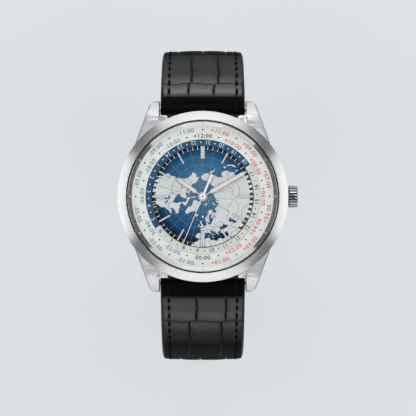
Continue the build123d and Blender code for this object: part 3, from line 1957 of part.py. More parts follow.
def strap_crown(travel):
    """The padding's height over the strap's edges."""
    rise = smooth(0, strap_crown_from, travel)
    fall = 1 - smooth(strap_crown_to - 2 * strap_crown_ramp, strap_crown_to, travel)
    padding = strap_crown_thickness - strap_edge_thickness
    return strap_least_crown + (padding - strap_least_crown) * rise * fall


def strap_width(travel, length, end_width):
    """The strap's width, tapering evenly from the lugs to its end."""
    start_width = lug_width - 2 * strap_side_clearance
    return start_width + (end_width - start_width) * min(max(travel / length, 0), 1)


def strap_thickness(travel, length, end_thickness):
    """The thickness at the strap's edges, even from well before its end."""
    share = min(max(travel / length / strap_thinning_share, 0), 1)
    return 2 * strap_root_radius + (end_thickness - 2 * strap_root_radius) * share


def strap_half(runs, side, sections):
    """A ruled solid through (travel, width, low, edge thickness, crown) sections."""
    with BuildPart() as half:
        for travel, width, low, thickness, rise in sections:
            plane = strap_plane(runs, side, max(travel, 0))
            if travel < 0:
                heading = radians(strap_drop_angle)
                plane = plane.move(
                    Location((0, side * travel * cos(heading), -travel * sin(heading)))
                )
            with BuildSketch(plane):
                with BuildLine():
                    Polyline(
                        (-width / 2, low),
                        (width / 2, low),
                        (width / 2, low + thickness),
                        (width / 2 - strap_edge_bevel, low + thickness + rise),
                        (-width / 2 + strap_edge_bevel, low + thickness + rise),
                        (-width / 2, low + thickness),
                        close=True,
                    )
                make_face()
        loft(ruled=True)
    return half.part


root_sections = []
for share in reversed(strap_end_shares):
    cut = strap_root_radius * share
    thickness = 2 * sqrt(strap_root_radius**2 - cut**2)
    root_sections.append(
        (
            -cut,
            lug_width - 2 * strap_side_clearance,
            strap_root_radius - thickness / 2,
            thickness,
            strap_least_crown * (1 - share),
        )
    )


def strap_middle(length, end_width, end_thickness, last):
    """The sections between the strap's two ends."""
    count = round(last / strap_section_step)
    middle = []
    for number in range(count + 1):
        travel = last * number / count
        middle.append(
            (
                travel,
                strap_width(travel, length, end_width),
                0,
                strap_thickness(travel, length, end_thickness),
                strap_crown(travel),
            )
        )
    return middle


upper_sections = list(root_sections)
upper_sections += strap_middle(
    upper_length, strap_buckle_width, 2 * buckle_eye_radius, upper_length
)
for share in strap_end_shares:
    cut = buckle_eye_radius * share
    thickness = 2 * sqrt(buckle_eye_radius**2 - cut**2)
    upper_sections.append(
        (
            upper_length + cut,
            strap_buckle_width,
            buckle_eye_radius - thickness / 2,
            thickness,
            strap_least_crown * (1 - share),
        )
    )
lower_sections = list(root_sections)
tail_start = lower_length - tail_point_length
lower_sections += strap_middle(
    lower_length, strap_tail_width, strap_tail_thickness, tail_start
)
for share in tail_point_shares:
    travel = tail_start + tail_point_length * share
    rounded = sqrt(1 - share**2)
    lower_sections.append(
        (
            travel,
            tail_point_width + (strap_tail_width - tail_point_width) * rounded,
            0,
            strap_thickness(travel, lower_length, strap_tail_thickness),
            strap_least_crown,
        )
    )

buckle_plane = strap_plane(upper_runs, 1, upper_length)
bar_place = buckle_plane.from_local_coords((0, buckle_eye_radius, 0))
buckle_heading = strap_point(upper_runs, 1, upper_length)[2]
strap_end_plane = Plane(
    origin=bar_place,
    x_dir=(1, 0, 0),
    z_dir=(0, sin(buckle_heading), cos(buckle_heading)),
)
frame_plane = Plane(origin=bar_place, x_dir=(1, 0, 0), z_dir=(0, 1, 0))
side_plane = Plane(origin=bar_place, x_dir=(0, 0, -1), z_dir=(1, 0, 0))
across_reach = lug_width + overrun
upper_blank = strap_half(upper_runs, 1, upper_sections)
lower_blank = strap_half(lower_runs, 1, lower_sections).mirror(Plane.XZ)
with BuildPart() as upper_half:
    add(upper_blank)
    with BuildSketch(Plane.YZ.offset(-across_reach / 2)):
        with Locations((bar_y, bar_z)):
            Circle(bar_radius + bar_hole_clearance)
    extrude(amount=across_reach, mode=Mode.SUBTRACT)
    with BuildSketch(side_plane.offset(-across_reach / 2)):
        Circle(buckle_bar_radius + buckle_bar_clearance)
    extrude(amount=across_reach, mode=Mode.SUBTRACT)
    with BuildSketch(strap_end_plane.offset(-buckle_reach / 2)):
        with Locations((0, -tongue_slot_length)):
            Rectangle(
                2 * tongue_slot_half_width,
                2 * tongue_slot_length,
                align=(Align.CENTER, Align.MIN),
            )
    extrude(amount=buckle_reach, mode=Mode.SUBTRACT)
save(upper_half.part, "strap_upper")

with BuildPart() as lower_half:
    add(lower_blank)
    with BuildSketch(Plane.YZ.offset(-across_reach / 2)):
        with Locations((-bar_y, bar_z)):
            Circle(bar_radius + bar_hole_clearance)
    extrude(amount=across_reach, mode=Mode.SUBTRACT)
    for number in range(tail_hole_count):
        travel = tail_hole_first + number * tail_hole_spacing
        along, high, heading = strap_point(lower_runs, -1, travel)
        hole_plane = Plane(
            origin=(0, along, high), z_dir=(0, -sin(heading), cos(heading))
        )
        with BuildSketch(hole_plane.offset(-overrun)):
            Circle(tail_hole_radius)
        extrude(amount=strap_crown_thickness + 2 * overrun, mode=Mode.SUBTRACT)
save(lower_half.part, "strap_lower")


# Keepers round the upper half
def keeper(at, length, room, slack):
    """A leather loop round the strap, with room over it for the tail."""
    strap_top = strap_thickness(at, upper_length, 2 * buckle_eye_radius) + strap_least_crown
    low = -slack
    high = strap_top + keeper_gap
    with BuildPart() as loop:
        with BuildSketch(strap_plane(upper_runs, 1, at).offset(-length / 2)):
            with Locations((0, (low + high) / 2)):
                Rectangle(room + 2 * keeper_wall, high - low + 2 * keeper_wall)
                Rectangle(room, high - low, mode=Mode.SUBTRACT)
        extrude(amount=length)
    return loop.part


fixed_room = strap_width(
    fixed_keeper_at - fixed_keeper_width / 2, upper_length, strap_buckle_width
)
loose_room = (
    strap_width(
        loose_keeper_at - loose_keeper_width / 2 - keeper_travel,
        upper_length,
        strap_buckle_width,
    )
    + 2 * keeper_side_clearance
)
save(keeper(fixed_keeper_at, fixed_keeper_width, fixed_room, 0), "keeper_fixed")
save(
    keeper(loose_keeper_at, loose_keeper_width, loose_room, keeper_side_clearance),
    "keeper_loose",
)

# Buckle: frame, bar and tongue, hanging straight down from the strap's end
frame_outer = buckle_inner_width / 2 + buckle_arm
with BuildPart() as frame:
    with BuildSketch(frame_plane.offset(-buckle_thickness / 2)):
        with Locations((0, -buckle_arm_overhang)):
            RectangleRounded(
                2 * frame_outer,
                buckle_arm_overhang + buckle_reach + buckle_end_bar,
                buckle_arm_overhang / 2,
                align=(Align.CENTER, Align.MIN),
            )
        with Locations((0, -2 * buckle_arm_overhang)):
            Rectangle(
                buckle_inner_width,
                2 * buckle_arm_overhang + buckle_reach,
                align=(Align.CENTER, Align.MIN),
                mode=Mode.SUBTRACT,
            )
    extrude(amount=buckle_thickness)
    with BuildSketch(side_plane.offset(-frame_outer)):
        Circle(buckle_tip_radius)
    extrude(amount=2 * frame_outer, mode=Mode.SUBTRACT)
save(frame.part, "buckle_frame")
with BuildPart() as buckle_bar:
    with BuildSketch(side_plane.offset(-buckle_inner_width / 2)):
        Circle(buckle_bar_radius)
    extrude(amount=buckle_inner_width)
    with BuildSketch(side_plane.offset(-buckle_inner_width / 2 - buckle_tip_length)):
        Circle(buckle_tip_radius)
    extrude(amount=buckle_inner_width + 2 * buckle_tip_length)
save(buckle_bar.part, "buckle_bar")
tongue_low = buckle_thickness / 2 + tongue_gap
tongue_end = buckle_reach + buckle_end_bar - tongue_overhang
with BuildPart() as tongue:
    with BuildSketch(side_plane.offset(-tongue_width / 2)):
        with BuildLine():
            Polyline(
                (0, 0),
                (0, tongue_ring_radius),
                (buckle_reach / 2, tongue_low + tongue_thickness),
                (tongue_end, tongue_low + tongue_thickness / 2),
                (tongue_end, tongue_low),
                (buckle_reach - overrun, tongue_low),
                (tongue_ring_radius, 0),
                close=True,
            )
        make_face()
        Circle(tongue_ring_radius)
        Circle(buckle_bar_radius + buckle_bar_clearance, mode=Mode.SUBTRACT)
    extrude(amount=tongue_width)
save(tongue.part, "buckle_tongue")
print("wrote", len(written), "pieces")
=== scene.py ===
# %% [markdown]
# # A world time watch, dressed for a portrait
#
# The solids of this watch come from its CAD frame: case, bezel, glass, dial, rings, hands,
# movement, buckle and a plain strap. Blender adds what makes them look real. The metal gets
# its brushing, the dial its map and minute track, the rings their printing, the hands their
# cream filling, and the strap its scales, thread and rounded edges.
#
# Lengths are written in millimetres and turned into Blender's metres in one place.

import json
import math

import bmesh
import bpy
import numpy as np
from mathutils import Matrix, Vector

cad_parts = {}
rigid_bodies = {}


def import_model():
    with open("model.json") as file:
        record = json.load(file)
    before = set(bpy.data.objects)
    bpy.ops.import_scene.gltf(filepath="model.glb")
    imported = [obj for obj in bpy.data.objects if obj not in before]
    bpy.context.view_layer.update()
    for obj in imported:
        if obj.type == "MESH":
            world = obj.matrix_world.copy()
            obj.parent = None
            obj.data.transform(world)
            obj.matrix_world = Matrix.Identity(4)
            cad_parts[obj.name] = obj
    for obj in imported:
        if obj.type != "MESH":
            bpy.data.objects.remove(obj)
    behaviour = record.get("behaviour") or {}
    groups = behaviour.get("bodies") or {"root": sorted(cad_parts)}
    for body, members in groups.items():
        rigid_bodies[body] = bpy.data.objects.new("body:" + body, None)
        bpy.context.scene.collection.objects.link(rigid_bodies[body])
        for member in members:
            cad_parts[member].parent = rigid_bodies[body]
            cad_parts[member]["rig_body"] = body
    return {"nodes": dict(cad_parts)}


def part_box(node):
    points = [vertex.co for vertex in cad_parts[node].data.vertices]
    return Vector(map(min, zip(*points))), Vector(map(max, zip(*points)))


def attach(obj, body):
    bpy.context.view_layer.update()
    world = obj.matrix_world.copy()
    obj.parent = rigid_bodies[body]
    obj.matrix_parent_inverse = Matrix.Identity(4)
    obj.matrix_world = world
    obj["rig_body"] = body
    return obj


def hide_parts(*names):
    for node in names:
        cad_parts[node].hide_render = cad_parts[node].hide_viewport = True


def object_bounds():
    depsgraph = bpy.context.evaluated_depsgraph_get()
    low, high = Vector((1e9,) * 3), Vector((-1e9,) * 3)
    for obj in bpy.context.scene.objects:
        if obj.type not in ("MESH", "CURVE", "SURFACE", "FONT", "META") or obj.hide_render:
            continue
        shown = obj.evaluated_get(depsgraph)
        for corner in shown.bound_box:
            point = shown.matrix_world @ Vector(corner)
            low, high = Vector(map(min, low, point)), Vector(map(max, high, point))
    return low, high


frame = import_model()
nodes = frame["nodes"]
cad_box = [[float(value) for value in corner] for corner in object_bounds()]
MM = 0.001
TURN = 2 * math.pi
print("CAD nodes:", len(nodes), "box:", cad_box)

# %% [markdown]
# ## From a grid of points to a mesh
#
# Most new pieces are surfaces that are worked out as whole arrays: a point for each pair of
# parameters. The faces of such a grid always join the same neighbours, so one helper turns
# any grid into a mesh. It can wrap round in either direction and can carry a UV map in
# millimetres, which the leather's pattern reads.


# %% Grid to mesh
def mesh_of(name, points, faces, uv=None):
    """A mesh from points (n, 3) in mm, quads or triangles (m, 3 or 4) and UVs per corner."""
    mesh = bpy.data.meshes.new(name)
    mesh.vertices.add(len(points))
    mesh.vertices.foreach_set("co", (points * MM).astype(np.float32).ravel())
    mesh.loops.add(faces.size)
    mesh.loops.foreach_set("vertex_index", faces.astype(np.int32).ravel())
    mesh.polygons.add(len(faces))
    mesh.polygons.foreach_set("loop_start", np.arange(0, faces.size, faces.shape[1]))
    if uv is not None:
        layer = mesh.uv_layers.new(name="flat")
        layer.uv.foreach_set("vector", uv.astype(np.float32).ravel())
    mesh.update(calc_edges=True)
    mesh.validate()
    return mesh


def grid_faces(rows, columns, wrap_rows=False, wrap_columns=False):
    """Quads between neighbours: row r joins row r + 1 and column c joins column c + 1."""
    down, across = np.meshgrid(
        np.arange(rows - (not wrap_rows)), np.arange(columns - (not wrap_columns)), indexing="ij"
    )
    corner_rows = np.stack([down, down + 1, down + 1, down], -1).reshape(-1, 4)
    corner_columns = np.stack([across, across, across + 1, across + 1], -1).reshape(-1, 4)
    return corner_rows, corner_columns


def grid_mesh(name, grid, uv=None, wrap_rows=False, wrap_columns=False):
    """A mesh from grid[r, c] = point in mm; uv[r, c] has one more row or column where it wraps."""
    rows, columns = grid.shape[:2]
    corner_rows, corner_columns = grid_faces(rows, columns, wrap_rows, wrap_columns)
    faces = (corner_rows % rows) * columns + corner_columns % columns
    corner_uv = None if uv is None else uv[corner_rows, corner_columns]
    return mesh_of(name, grid.reshape(-1, 3), faces, corner_uv)


print("grids become meshes")

# %% [markdown]
# ## Showing pieces
#
# A piece is a mesh that is linked into the scene, shaded smooth except over sharp edges,
# and told which body of the CAD it rides on. The other helpers here turn curves into meshes
# and read whole arrays from a mesh.


# %% Pieces
def placed(name, data):
    """A new object, linked into the scene."""
    made = bpy.data.objects.new(name, data)
    bpy.context.scene.collection.objects.link(made)
    return made


def piece(name, mesh, body, material, smooth_angle=40.0):
    """Shows a mesh as a piece that rides on a body, smooth except over sharp edges."""
    mesh.shade_smooth()
    mesh.set_sharp_from_angle(angle=math.radians(smooth_angle))
    made = placed(name, mesh)
    made.data.materials.append(material)
    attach(made, body)
    print(name, "has", len(mesh.polygons), "faces")
    return made


def outward(mesh):
    """Turns a closed mesh's faces outwards."""
    work = bmesh.new()
    work.from_mesh(mesh)
    bmesh.ops.remove_doubles(work, verts=work.verts, dist=1e-7)
    bmesh.ops.recalc_face_normals(work, faces=work.faces)
    work.to_mesh(mesh)
    work.free()
    return mesh


def as_mesh(made):
    """What an object's curve or modifiers come to, as a mesh of its own."""
    bpy.context.view_layer.update()
    graph = bpy.context.evaluated_depsgraph_get()
    return bpy.data.meshes.new_from_object(made.evaluated_get(graph), depsgraph=graph)


def curve_mesh(name, curve):
    """A curve or a word as a mesh; the object that it takes is removed again."""
    made = placed(name, curve)
    mesh = as_mesh(made)
    bpy.data.objects.remove(made)
    return mesh


def values_of(items, field, width=1, kind=np.float32):
    """One property of all vertices, corners or faces of a mesh, as an array (n, width)."""
    values = np.zeros(len(items) * width, kind)
    items.foreach_get(field, values)
    return values.reshape(-1, width)


def adjusted(made, **settings):
    """Sets properties by their names."""
    for key, value in settings.items():
        setattr(made, key, value)
    return made


print("pieces can be shown")

# %% [markdown]
# ## Building materials from parts
#
# A material here is one Principled BSDF with a few pattern nodes. Numbers that are the same
# all over a surface sit on the shader's own sockets. Patterns that several finishes share,
# such as the fine lines of a brush, are node groups that put out masks and heights only.


# %% Node helpers
def fill(made, inputs):
    """Fills a node's inputs: a socket is linked to the input, anything else is set on it."""
    for key, value in inputs.items():
        if isinstance(value, bpy.types.NodeSocket):
            made.id_data.links.new(value, made.inputs[key])
        else:
            made.inputs[key].default_value = value
    return made


def node(tree, kind, inputs=None, **settings):
    """Adds a node, sets its properties and fills its inputs."""
    return fill(adjusted(tree.nodes.new(kind), **settings), inputs or {})


def maths(operation, *values, clamp=False):
    """A Math node's result, in the tree that its sockets belong to."""
    tree = next(value.id_data for value in values if isinstance(value, bpy.types.NodeSocket))
    inputs = dict(enumerate(values))
    return node(tree, "ShaderNodeMath", inputs, operation=operation, use_clamp=clamp).outputs[0]


def times(first, second, clamp=False):
    """first * second."""
    return maths("MULTIPLY", first, second, clamp=clamp)


def scaled(value, slope, start, clamp=False):
    """slope * value + start."""
    return maths("MULTIPLY_ADD", value, slope, start, clamp=clamp)


def span_of(x, y):
    """sqrt(x^2 + y^2)."""
    return maths("SQRT", maths("ADD", times(x, x), times(y, y)))


def parts_of(vector):
    """The three numbers of a vector."""
    return node(vector.id_data, "ShaderNodeSeparateXYZ", {"Vector": vector}).outputs


def noise(vector, scale, detail=2.0, roughness=0.5):
    """Soft noise about 0.5."""
    inputs = {"Vector": vector, "Scale": scale, "Detail": detail, "Roughness": roughness}
    return node(vector.id_data, "ShaderNodeTexNoise", inputs).outputs["Fac"]


def blend_colours(share, first, second):
    """A mix of two colours, each a socket or four numbers."""
    inputs = {0: share, 6: first, 7: second}
    return node(share.id_data, "ShaderNodeMix", inputs, data_type="RGBA").outputs[2]


def bump(height, distance):
    """A normal from a height, with the bump's depth in metres."""
    inputs = {"Height": height, "Distance": distance}
    return node(height.id_data, "ShaderNodeBump", inputs).outputs["Normal"]


print("nodes for sums and patterns are ready")

# %% [markdown]
# ## Materials and groups
#
# A finish is a new material with some of its sockets filled. Colours are written as they
# stand in a picture and turned into the linear values that a shader works with. A node group
# always takes a vector, and any numbers that it is given names for.


# %% Materials and groups
def place_of(tree):
    """The surface's own coordinates in metres."""
    return node(tree, "ShaderNodeTexCoord").outputs["Object"]


def paint(shader, **sockets):
    """Fills sockets by their names, written with _ for a space."""
    return fill(shader, {key.replace("_", " "): value for key, value in sockets.items()})


def finish(name, **sockets):
    """A new material: its tree and its Principled BSDF with the given sockets filled."""
    made = bpy.data.materials.new(name)
    made.use_nodes = True
    return made, made.node_tree, paint(made.node_tree.nodes["Principled BSDF"], **sockets)


def mix_in(shader, share, other):
    """Gives a share of the surface to a second shader."""
    inputs = {0: share, 1: shader.outputs[0], 2: other.outputs[0]}
    mixed = node(shader.id_data, "ShaderNodeMixShader", inputs)
    fill(shader.id_data.nodes["Material Output"], {"Surface": mixed.outputs[0]})


def srgb(red, green, blue):
    """A colour as the shader wants it, from the 0-255 values of a picture."""
    shares = np.array([red, green, blue]) / 255
    linear = np.where(shares <= 0.04045, shares / 12.92, ((shares + 0.055) / 1.055) ** 2.4)
    return (*[float(value) for value in linear], 1.0)


def toned(colour, share, lift=0.0):
    """A colour made darker or lighter."""
    return (*[min(1.0, share * value + lift) for value in colour[:3]], 1.0)


def new_group(name, numbers, outputs):
    """An empty node group: a vector and named numbers go in, named numbers come out."""
    group = bpy.data.node_groups.new(name, "ShaderNodeTree")
    add = group.interface.new_socket
    add(name="Vector", in_out="INPUT", socket_type="NodeSocketVector")
    for label, value in numbers.items():
        add(name=label, in_out="INPUT", socket_type="NodeSocketFloat").default_value = value
    for label in outputs:
        add(name=label, in_out="OUTPUT", socket_type="NodeSocketFloat")
    return group, group.nodes.new("NodeGroupInput").outputs, group.nodes.new("NodeGroupOutput")


def use_group(tree, group, inputs):
    """Places a node group in a tree and gives its outputs."""
    return node(tree, "ShaderNodeGroup", inputs, node_tree=group).outputs


print("materials and groups are ready")

# %% [markdown]
# ## Two shared effects for metal
#
# Satin steel has thousands of fine parallel lines. The group called "brush lines" stretches
# noise along one axis of whatever coordinates it gets, so the same group serves straight
# brushing, brushing round the centre and brushing out from it. The group "handling" makes
# the faint uneven gloss that touching leaves on any real surface.

# %% Brush lines and handling
brush_lines, given, leave = new_group(
    "brush lines", {"Fineness": 6000.0, "Length": 0.02}, ["Mask"]
)
x, y, z = parts_of(given["Vector"])
fine = given["Fineness"]
lengthwise = times(x, times(fine, given["Length"]))
stretched = {"X": lengthwise, "Y": times(y, fine), "Z": times(z, fine)}
stretched = node(brush_lines, "ShaderNodeCombineXYZ", stretched).outputs[0]
fill(leave, {"Mask": noise(stretched, 1.0, 3.0, 0.6)})

handling, given, leave = new_group("handling", {"Patch": 300.0}, ["Mask", "Grime"])
specks = noise(given["Vector"], times(given["Patch"], 14.0))
grime = times(maths("SUBTRACT", specks, 0.62, clamp=True), 6.0, clamp=True)
fill(leave, {"Mask": noise(given["Vector"], given["Patch"], 4.0), "Grime": grime})


def touched(tree, patch=300.0):
    """The marks of handling on a surface; a higher number makes smaller patches."""
    return use_group(tree, handling, {"Vector": place_of(tree), "Patch": patch})


print("groups:", brush_lines.name, "and", handling.name)

# %% [markdown]
# ## Coordinates that follow a turned part
#
# A lathe leaves its lines round the centre. Its brushing needs polar coordinates: the angle
# round the watch's axis times a middle radius, the radius itself and the height. The brush
# lines run along the first of them.


# %% Polar coordinates
def polar(tree):
    """(a r0, r, z) in metres: along the lathe's lines and across them; r0 is 15 mm."""
    x, y, z = parts_of(place_of(tree))
    radius = span_of(x, y)
    arc = times(maths("ARCTAN2", y, x), 15 * MM)
    return node(tree, "ShaderNodeCombineXYZ", {"X": arc, "Y": radius, "Z": z}).outputs[0]


def brushed_metal(name, colour, roughness, coordinates, fineness=6000.0, metal=1.0):
    """Satin metal: the brush lines set its gloss and a very shallow bump."""
    made, tree, shader = finish(name, Metallic=metal)
    spread, uneven, depth = 0.16, 0.06, 0.6e-6
    given = {"Vector": coordinates(tree), "Fineness": fineness}
    lines = use_group(tree, brush_lines, given)["Mask"]
    gloss = maths("SUBTRACT", scaled(lines, spread, roughness - spread / 2), uneven / 2)
    gloss = scaled(touched(tree)["Mask"], uneven, gloss)
    shade = blend_colours(lines, toned(colour, 0.93), colour)
    paint(shader, Base_Color=shade, Roughness=gloss, Normal=bump(lines, depth))
    return made


def polished_metal(name, colour, roughness):
    """Mirror-like metal with the faintest uneven gloss."""
    made, tree, shader = finish(name, Metallic=1.0, Base_Color=colour)
    marks = touched(tree)
    gloss = scaled(marks["Grime"], 0.04, scaled(marks["Mask"], 0.07, roughness - 0.03))
    paint(shader, Roughness=gloss)
    return made


steel = srgb(226, 227, 228)
case_satin = brushed_metal("case satin", srgb(230, 231, 233), 0.36, place_of, 5000.0, 0.6)
bezel_satin = brushed_metal("bezel satin", steel, 0.24, polar, 7000.0)
back_satin = brushed_metal("back satin", steel, 0.26, polar)
bright_steel = polished_metal("bright steel", srgb(232, 233, 234), 0.09)
print("steel finishes:", case_satin.name, bezel_satin.name, back_satin.name, bright_steel.name)

# %% [markdown]
# ## Floor, light and camera
#
# The camera looks straight down through a long lens, from where the photographer's was. The
# floor is plain and pale, and partly gives its own light, so that no lamp has to flood it.
# Polished steel shows what stands round it, so the light is placed by what the bezel should
# mirror. Low soft boxes on four sides make it bright there and leave the corners grey. Three
# middle boxes at 12 and three at 6 light the flange and the strap. High boxes light the dial.

# %% Stage
floor_colour = srgb(223, 227, 230)
floor_half = 3000.0
floor_low = cad_box[0][2] / MM - 0.05
floor_glow = 0.8
corners = np.array([[-1, -1], [1, -1], [-1, 1], [1, 1]]).reshape(2, 2, 2) * floor_half
floor_grid = np.concatenate([corners, np.full((2, 2, 1), floor_low)], -1)
floor = placed("floor", grid_mesh("floor", floor_grid.transpose(1, 0, 2)))
floor_paint, tree, shader = finish("floor paint", Base_Color=floor_colour, Roughness=0.8)
rays = node(tree, "ShaderNodeLightPath").outputs
seen = maths("MAXIMUM", rays["Is Camera Ray"], rays["Is Glossy Ray"])
seen = maths("MAXIMUM", seen, rays["Is Transmission Ray"])
glow = node(tree, "ShaderNodeEmission", {"Color": floor_colour, "Strength": 1.0})
mix_in(shader, times(seen, floor_glow), glow)
floor.data.materials.append(floor_paint)

world = bpy.data.worlds.new("studio")
bpy.context.scene.world = world
world.use_nodes = True
daylight = {"Color": (0.97, 0.985, 1.0, 1.0), "Strength": 0.16}
fill(world.node_tree.nodes["Background"], daylight)
bpy.context.scene.view_settings.view_transform = "Standard"

view_centre, view_width = (1.288, -2.795), 101.1
camera_distance, dial_height = 900.0, 9.5
lens = bpy.data.cameras.new("camera")
lens.sensor_width = 36.0
lens.lens = lens.sensor_width * camera_distance / view_width
lens.clip_end = 20.0
camera = placed("camera", lens)
camera.location = [part * MM for part in (*view_centre, camera_distance + dial_height)]
bpy.context.scene.camera = camera
box_distance = 600.0


def soft_box(name, azimuth, elevation, width, height, radiance):
    """An area light aimed at the watch; azimuth is clockwise from 12, sizes are in mm."""
    turn, rise = math.radians(azimuth), math.radians(elevation)
    toward = (math.sin(turn) * math.cos(rise), math.cos(turn) * math.cos(rise), math.sin(rise))
    lamp = bpy.data.lights.new(name, "AREA")
    lamp.shape = "RECTANGLE"
    lamp.size, lamp.size_y = width * MM, height * MM
    lamp.energy = radiance * math.pi * lamp.size * lamp.size_y
    made = placed(name, lamp)
    made.location = [box_distance * MM * part for part in toward]
    made.rotation_mode = "QUATERNION"
    made.rotation_quaternion = made.location.normalized().to_track_quat("Z", "Y")


for name, azimuth, overhead in (("north", 0, 2.0), ("south", 180, 0.4)):
    soft_box(f"low box {name}", azimuth, 15.5, 720, 200, 0.95)
    for turn, strength in ((-30, 0.8), (0, 1.05), (30, 0.8)):
        soft_box(f"middle box {name} {turn:+d}", azimuth + turn, 29.5, 279, 115, strength)
    soft_box(f"high box {name}", azimuth, 51, 400, 355, overhead)
for name, azimuth in (("east", 90), ("west", 270)):
    soft_box(f"low box {name}", azimuth, 15.5, 660, 200, 1.28)
    soft_box(f"high box {name}", azimuth, 56, 420, 410, 2.0)
print("lens", round(lens.lens, 1), "mm, floor at", round(floor_low, 2), "mm")

# %% [markdown]
# ## Turned parts
#
# Bezel, flange and gasket come off a lathe, so each is one closed profile carried round
# the axis. A profile is a list of (radius, height) corners. Real corners are never razor
# sharp: every corner of a profile is cut back a little and rounded, which is what catches
# the light along the edge of a bezel.


# %% Turning
def eased(profile, ease, steps=4):
    """Each corner becomes a short curve: (1-t)^2 before + 2t(1-t) corner + t^2 after."""
    corners = np.array(profile, float)
    t = np.linspace(0, 1, steps)[None, :, None]
    before, after = np.roll(corners, 1, 0), np.roll(corners, -1, 0)
    cut = np.broadcast_to(np.asarray(ease, float), len(corners))[:, None]
    back = np.linalg.norm(before - corners, axis=1, keepdims=True)
    ahead = np.linalg.norm(after - corners, axis=1, keepdims=True)
    start = corners + (before - corners) * np.minimum(cut / back, 0.45)
    end = corners + (after - corners) * np.minimum(cut / ahead, 0.45)
    curve = (1 - t) ** 2 * start[:, None] + 2 * t * (1 - t) * corners[:, None] + t**2 * end[:, None]
    return curve.reshape(-1, 2)


def turned_mesh(name, profile, segments=240):
    """(r, z) carried round the axis: x = r cos a, y = r sin a, z = z."""
    angles = np.linspace(0, TURN, segments, endpoint=False)
    radius, height = np.array(profile, float).T[:, :, None]
    x, y = radius * np.cos(angles), radius * np.sin(angles)
    grid = np.stack(np.broadcast_arrays(x, y, height), -1)
    return outward(grid_mesh(name, grid, wrap_rows=True, wrap_columns=True))


def turned(name, profile, material, node_name, smooth_angle=30.0):
    """A turned piece of the case that stands for a CAD node."""
    made = piece(name, turned_mesh(name, profile), "case", material, smooth_angle)
    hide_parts(node_name)


print("a corner eased:", eased([(0, 0), (1, 0), (1, 1)], 0.1)[:4].round(3).tolist())

# %% [markdown]
# ## CAD solids with broken edges
#
# Milled parts such as the case middle, the buckle and the bridges keep their CAD shape. A
# copy of each is merged, its flat faces are joined again, and a Bevel modifier breaks its
# edges, as a maker does by hand. The case is chamfered along its lugs only, so there the
# edges are picked by where they lie, and the modifier follows their weights.


# %% Broken edges
def broken_edges(made, width, segments=2, **settings):
    """A Bevel modifier; its width is in mm."""
    bevel = made.modifiers.new("broken edges", "BEVEL")
    return adjusted(bevel, width=width * MM, segments=segments, **settings)


def dressed(node_name, metal, width, slot, angle=32.0, smooth_angle=40.0, where=None, **bevel):
    """A copy of a CAD node with bevelled edges, standing for it; where() can pick the edges."""
    merged_within, flat_below, shortest = 2e-6, math.radians(0.6), 0.5 * MM
    source = nodes[node_name]
    mesh = source.data.copy()
    work = bmesh.new()
    work.from_mesh(mesh)
    edges = work.edges
    bmesh.ops.remove_doubles(work, verts=work.verts, dist=merged_within)
    bmesh.ops.dissolve_limit(work, angle_limit=flat_below, verts=work.verts, edges=edges)
    if where:
        weight = edges.layers.float.new("bevel_weight_edge")
        for edge in edges:
            sharp = edge.calc_face_angle(0.0) > math.radians(angle)
            picked = all(where(*(end.co / MM)) for end in edge.verts)
            edge[weight] = float(sharp and edge.calc_length() > shortest and picked)
    work.to_mesh(mesh)
    work.free()
    mesh.materials.clear()
    made = piece(node_name + "_finished", mesh, source["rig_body"], metal, smooth_angle)
    broken_edges(
        made, width, limit_method="WEIGHT" if where else "ANGLE", harden_normals=True,
        angle_limit=math.radians(angle), **bevel,
    )
    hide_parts(node_name)
    return made


def coat(material, *names):
    """Gives CAD nodes that keep their shape a material."""
    for name in names:
        mesh = nodes[name].data
        mesh.materials.clear()
        mesh.materials.append(material)


def on_lugs(x, y, z):
    """True past the bezel: beyond 12 mm on the lugs' outer sides, 18.2 mm between them."""
    return z > 0.5 and abs(x) > 9.0 and abs(y) > (12.0 if abs(x) > 11.4 else 18.2)


case_finished = dressed(
    "case_middle", case_satin, 0.25, "satin_steel", smooth_angle=30.0, where=on_lugs,
    segments=1, material=1, use_clamp_overlap=False,
)
# The chamfers get a darker copy of the case steel: painted shade, so that the thin line along each
# lug reads darker.
case_finished.data.materials.append(polished_metal("polished chamfer painted darker", srgb(166, 168, 172), 0.12))

(_, _, crown_low), (crown_end, _, crown_top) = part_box("crown")
land_radius, land_fade, cap_depth, cap_fade = 2.55, 0.16, 0.15, 0.1
# Painted shade: inside the land radius, in the flutes and at the neck, the crown's steel is painted
# nearly black (52); the lands and the end cap stay bright.
crown_steel, tree, shader = finish("crown steel with painted shade", Metallic=1.0, Roughness=0.16)
x, y, z = parts_of(place_of(tree))
up = maths("SUBTRACT", z, (crown_low + crown_top) / 2)
radius = maths("SQRT", scaled(y, y, times(up, up)))
land = scaled(radius, 1 / (land_fade * MM), -land_radius / land_fade, clamp=True)
cap_start = crown_end - cap_depth * MM
cap = scaled(x, 1 / (cap_fade * MM), -cap_start / (cap_fade * MM), clamp=True)
bright = maths("MAXIMUM", land, cap)
paint(shader, Base_Color=blend_colours(bright, srgb(52, 53, 56), srgb(206, 207, 209)))
dressed("crown", crown_steel, 0.05, "polished_steel")
print("case middle and crown are dressed")

# %% [markdown]
# ## Bezel, glass and back
#
# The bezel is satin round its sloping face, and its eased corners catch thin bright lines.
# A flat black lip of the gasket shows inside it. It reaches in over the flange's outer edge as a
# painted shadow ring. The glass is sapphire with an anti-reflective coat, so its IOR on the shader
# is lower than sapphire's own 1.77: that is how a coated glass looks. Shadow rays pass straight
# through it.

